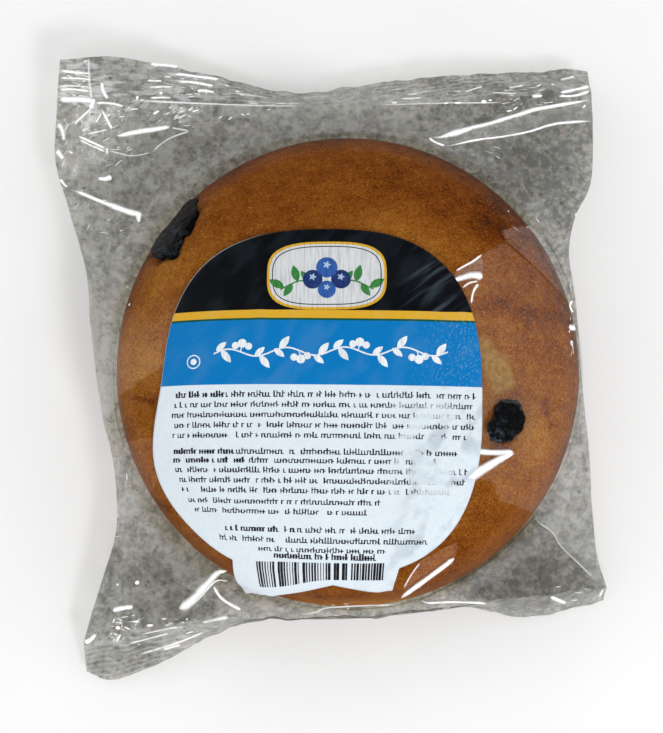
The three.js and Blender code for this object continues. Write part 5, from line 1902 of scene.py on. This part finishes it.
# ======== the stage
CAMERA_PLACE = (-4.0175, -88.092, 460.882)
CAMERA_RISE = math.radians(78.0)
CAMERA_LENS = 86.73
SENSOR = 36.0
FLOOR_HALF, FLOOR_HEIGHT = 2500.0, -0.15
LIGHT_AIM = Vector((0, 0, 0.035))
# Lamps: name, azimuth, elevation, distance, width, height, and whether reflections show them.
LAMPS = (
    ("window_right", 0, 34, 1.3, 2.2, 1.35, True), ("window_left", 163, 32, 1.3, 0.8, 1.1, True),
    ("key_lamp", -60, 50, 1.1, 0.18, 0.18, False), ("top_lamp", -97, 64, 1.2, 0.20, 0.14, False),
)


def soft_light(name, azimuth, elevation, distance, width, height, radiance, mirrored):
    """A flat lamp that faces the muffin. Azimuth 0 is +X and 90 is +Y."""
    a, e = math.radians(azimuth), math.radians(elevation)
    back = Vector((math.cos(e) * math.cos(a), math.cos(e) * math.sin(a), math.sin(e)))
    lamp = bpy.data.lights.new(name, "AREA")
    lamp.shape = "RECTANGLE"
    lamp.size, lamp.size_y = width, height
    lamp.energy = radiance * math.pi * width * height
    holder = linked(name, lamp)
    holder.location = LIGHT_AIM + back * distance
    holder.rotation_mode = "QUATERNION"
    holder.rotation_quaternion = back.to_track_quat("Z", "Y")
    holder.visible_glossy = mirrored


def make_stage():
    settings = bpy.context.scene.muffin_stage
    floor = mesh_object("floor", [
        (x * FLOOR_HALF, y * FLOOR_HALF, FLOOR_HEIGHT) for x, y in ((-1, -1), (1, -1), (1, 1), (-1, 1))
    ], [(0, 1, 2, 3)])
    floor.data.materials.append(floor_material(settings))
    world = bpy.data.worlds.new("soft_room")
    world.use_nodes = True
    background = world.node_tree.nodes["Background"]
    background.inputs["Color"].default_value = WHITE_LIGHT
    background.inputs["Strength"].default_value = settings.room_light
    world.cycles_visibility.glossy = False
    bpy.context.scene.world = world
    for name, azimuth, elevation, distance, width, height, mirrored in LAMPS:
        soft_light(name, azimuth, elevation, distance, width, height, getattr(settings, name), mirrored)
    camera = bpy.data.cameras.new("camera")
    camera.lens, camera.sensor_width = CAMERA_LENS, SENSOR
    camera.clip_start, camera.clip_end = 0.01, 20
    holder = linked("camera", camera)
    right = Vector((1, 0, 0))
    back = Vector((0, -math.cos(CAMERA_RISE), math.sin(CAMERA_RISE)))
    turn = Matrix((right, back.cross(right), back)).transposed().to_4x4()
    holder.matrix_world = Matrix.Translation(Vector(CAMERA_PLACE) * MM) @ turn
    bpy.context.scene.camera = holder
    bpy.context.scene.view_settings.view_transform = "Standard"


# ======== the add-on's own classes
def tint(name, description, *channels):
    """A colour setting, whose default is given in channels of 0 to 255."""
    return bpy.props.FloatVectorProperty(
        name=name, description=description, default=[channel / 255 for channel in channels], size=3,
        min=0, max=1, subtype="COLOR_GAMMA")


def share(name, description, default):
    return bpy.props.FloatProperty(
        name=name, description=description, default=default, min=0, max=1, subtype="FACTOR")


def length(name, description, default):
    return bpy.props.FloatProperty(
        name=name, description=description, default=default, min=0, unit="LENGTH", precision=5)


def light(name, description, default):
    return bpy.props.FloatProperty(name=name, description=description, default=default, min=0)


class CrustSettings(bpy.types.PropertyGroup):
    pale_gold: tint("Pale gold", "Least baked crust", 206, 150, 76)
    gold: tint("Gold", "Lightly baked crust", 176, 118, 46)
    brown: tint("Brown", "Most of the crust", 151, 87, 25)
    dark_brown: tint("Dark brown", "Well baked crust", 125, 64, 16)
    darkest: tint("Darkest brown", "Rim and cracks of the crust", 74, 38, 17)
    speck: tint("Speck", "Fine light specks in the crust", 206, 150, 84)
    crumb: tint("Crumb", "Crumb where the crust has opened", 182, 146, 84)
    crumb_dark: tint("Dark crumb", "Hollows in the open crumb", 146, 108, 50)
    stain: tint("Stain", "Crust soaked with berry juice", 62, 52, 52)
    loose_pale: tint("Loose crumbs", "Loose crumbs in the bag", 206, 186, 164)
    loose_dark: tint("Dark loose crumbs", "Darker side of the loose crumbs", 150, 124, 100)
    berry: tint("Berry", "Berry skin", 6, 9, 15)
    berry_bloom: tint("Bloom", "Pale bloom on a berry's skin", 74, 92, 122)
    berry_crease: tint("Berry crease", "Fine pale wrinkles of a berry", 86, 88, 92)


class FilmSettings(bpy.types.PropertyGroup):
    cling_tint: tint("Clinging film", "Tint where the film clings", 234, 230, 220)
    upper_tint: tint("Upper tint", "Light let through by the upper sheet", 247, 247, 246)
    lower_tint: tint("Lower tint", "Light let through by the lower sheet", 218, 218, 213)
    lower_dark: tint("Lower dark tint", "Smoky patches of the lower sheet", 150, 150, 146)
    lower_warm: tint("Lower warm tint", "Warm flecks of the lower sheet", 216, 204, 192)
    # also the colour of the painted glitter and painted reflections
    milk: tint("Milky film", "Light scattered by the film", 238, 239, 240)
    # colour of the painted highlights along the creases and of the painted glints
    crease_highlight: tint("Crease", "Bright edges of the film's creases", 250, 251, 252)
    reflection: share("Reflection", "Share of light reflected head on", 0.06)
    cling_reflection: share("Clinging reflection", "Share reflected where the film clings", 0.008)
    slant_reflection: share("Slanting reflection", "Share of light added at a slant", 0.06)
    gloss_roughness: share("Gloss roughness", "Roughness of the reflection", 0.035)
    haze: share("Haze", "Share of light scattered by the film", 0.0015)
    # painted reflection where the film stands off, given as a share of white scatter
    veil_reflection: share("Veil", "Share of light scattered where the film stands off", 0.12)
    clearance: length("Clearance", "Gap between crust and film", 0.0004)
    crumple: bpy.props.FloatProperty(
        name="Crumple", description="Depth of the film's crumples", default=1.0, min=0, max=2,
        subtype="FACTOR")
    crimp_pitch: length("Crimp pitch", "Distance between the seal's ribs", 0.0016)
    crimp_height: length("Crimp height", "Height of the seal's ribs", 0.00026)


class LabelSettings(bpy.types.PropertyGroup):
    paper_white: tint("Paper", "Unprinted paper", 222, 232, 240)
    paper_shade: tint("Crumpled paper", "Shade in the paper's soft dents", 160, 166, 176)
    sheen: tint("Sheen", "Soft sheen of the coated paper", 176, 204, 222)
    black: tint("Black", "Upper field", 14, 17, 22)
    gold_line: tint("Gold", "Narrow band and badge rim", 220, 170, 46)
    green_line: tint("Green", "Thin line below the gold band", 20, 84, 58)
    blue: tint("Blue", "Wide middle band", 0, 119, 190)
    badge_pale: tint("Badge", "Pale field of the badge", 214, 218, 220)
    small_ink: tint("Small print", "Marks in the white field", 26, 28, 36)
    bar_ink: tint("Bars", "Plain bars at the label's foot", 20, 22, 26)
    badge_line: tint("Badge line", "Thin line inside the badge's rim", 40, 44, 56)
    leaf_green: tint("Leaf green", "Leaves and stem of the badge", 58, 132, 62)
    berry_blue: tint("Berry blue", "Upper and lower berry of the badge", 44, 92, 168)
    deep_blue: tint("Deep blue", "Side berries of the badge", 28, 52, 110)
    berry_crown: tint("Berry crown", "Small star on each berry", 170, 196, 226)
    ornament: tint("Garland", "Garland on the blue band", 236, 242, 246)
    fibre: tint("Fibre", "Faint fibres of the paper", 120, 120, 124)
    worn_ink: tint("Worn ink", "Faint wear of the ink", 150, 150, 152)
    brushed_ink: tint("Brushed ink", "Faint brushed lines in the ink", 150, 150, 154)
    paper_roughness: share("Roughness", "Roughness of the coated paper", 0.36)


class StageSettings(bpy.types.PropertyGroup):
    floor_colour: tint("Floor", "Plain floor", 240, 240, 240)
    room_light: light("Room light", "Even light from all round", 0.66)
    window_right: light("Right window", "Brightness of the wide light on the right", 0.16)
    window_left: light("Left window", "Brightness of the light on the left", 0.5)
    key_lamp: light("Key lamp", "Brightness of the lamp at the lower right", 36.0)
    top_lamp: light("Top lamp", "Brightness of the lamp in front", 16.0)


class MUFFIN_OT_stage(bpy.types.Operator):
    """Make the floor, the lights and the camera"""

    bl_idname = "muffin.stage"
    bl_label = "Stage"

    def execute(self, context):
        make_stage()
        return {"FINISHED"}


class MUFFIN_OT_muffin(bpy.types.Operator):
    """Make the muffin with its baked crust"""

    bl_idname = "muffin.muffin"
    bl_label = "Muffin"

    def execute(self, context):
        make_muffin()
        return {"FINISHED"}


class MUFFIN_OT_berries(bpy.types.Operator):
    """Make the berries that show in the crust"""

    bl_idname = "muffin.berries"
    bl_label = "Berries"

    def execute(self, context):
        make_berries()
        return {"FINISHED"}


class MUFFIN_OT_crumbs(bpy.types.Operator):
    """Scatter loose crumbs inside the bag"""

    bl_idname = "muffin.crumbs"
    bl_label = "Crumbs"

    def execute(self, context):
        make_crumbs()
        return {"FINISHED"}


class MUFFIN_OT_film(bpy.types.Operator):
    """Make the clear film bag with its crimped seals"""

    bl_idname = "muffin.film"
    bl_label = "Film bag"

    def execute(self, context):
        make_film()
        return {"FINISHED"}


class MUFFIN_OT_highlights(bpy.types.Operator):
    """Make the painted highlights along the film's creases and its painted crinkle glints"""

    bl_idname = "muffin.folds"
    bl_label = "Film creases"

    def execute(self, context):
        make_crease_highlights()
        return {"FINISHED"}


class MUFFIN_OT_label(bpy.types.Operator):
    """Make the paper label and its printed shapes"""

    bl_idname = "muffin.label"
    bl_label = "Label"

    def execute(self, context):
        make_label()
        make_badge()
        make_ornament()
        make_small_print()
        return {"FINISHED"}


OPERATORS = (
    MUFFIN_OT_stage, MUFFIN_OT_muffin, MUFFIN_OT_berries, MUFFIN_OT_crumbs, MUFFIN_OT_film, MUFFIN_OT_highlights,
    MUFFIN_OT_label,
)
SETTINGS = (
    ("muffin_crust", CrustSettings), ("muffin_film", FilmSettings), ("muffin_label", LabelSettings),
    ("muffin_stage", StageSettings),
)


class MUFFIN_PT_panel(bpy.types.Panel):
    """Lists the settings and the pieces"""

    bl_idname = "MUFFIN_PT_panel"
    bl_label = "Wrapped Muffin"
    bl_space_type = "VIEW_3D"
    bl_region_type = "UI"
    bl_category = "Muffin"

    def draw(self, context):
        for name, group in SETTINGS:
            box = self.layout.box()
            box.label(text=name.replace("_", " ").capitalize())
            for key in group.__annotations__:
                box.prop(getattr(context.scene, name), key)
        for operator in OPERATORS:
            self.layout.operator(operator.bl_idname)


def register():
    for name, group in SETTINGS:
        bpy.utils.register_class(group)
        setattr(bpy.types.Scene, name, bpy.props.PointerProperty(type=group))
    for cls in OPERATORS + (MUFFIN_PT_panel,):
        bpy.utils.register_class(cls)


def unregister():
    for cls in reversed(OPERATORS + (MUFFIN_PT_panel,)):
        bpy.utils.unregister_class(cls)
    for name, group in reversed(SETTINGS):
        delattr(bpy.types.Scene, name)
        bpy.utils.unregister_class(group)


def main():
    register()
    bpy.ops.muffin.stage()
    bpy.ops.muffin.muffin()
    bpy.ops.muffin.berries()
    bpy.ops.muffin.film()
    bpy.ops.muffin.folds()
    bpy.ops.muffin.crumbs()
    bpy.ops.muffin.label()
    bpy.context.view_layer.update()


if __name__ == "__main__":
    main()
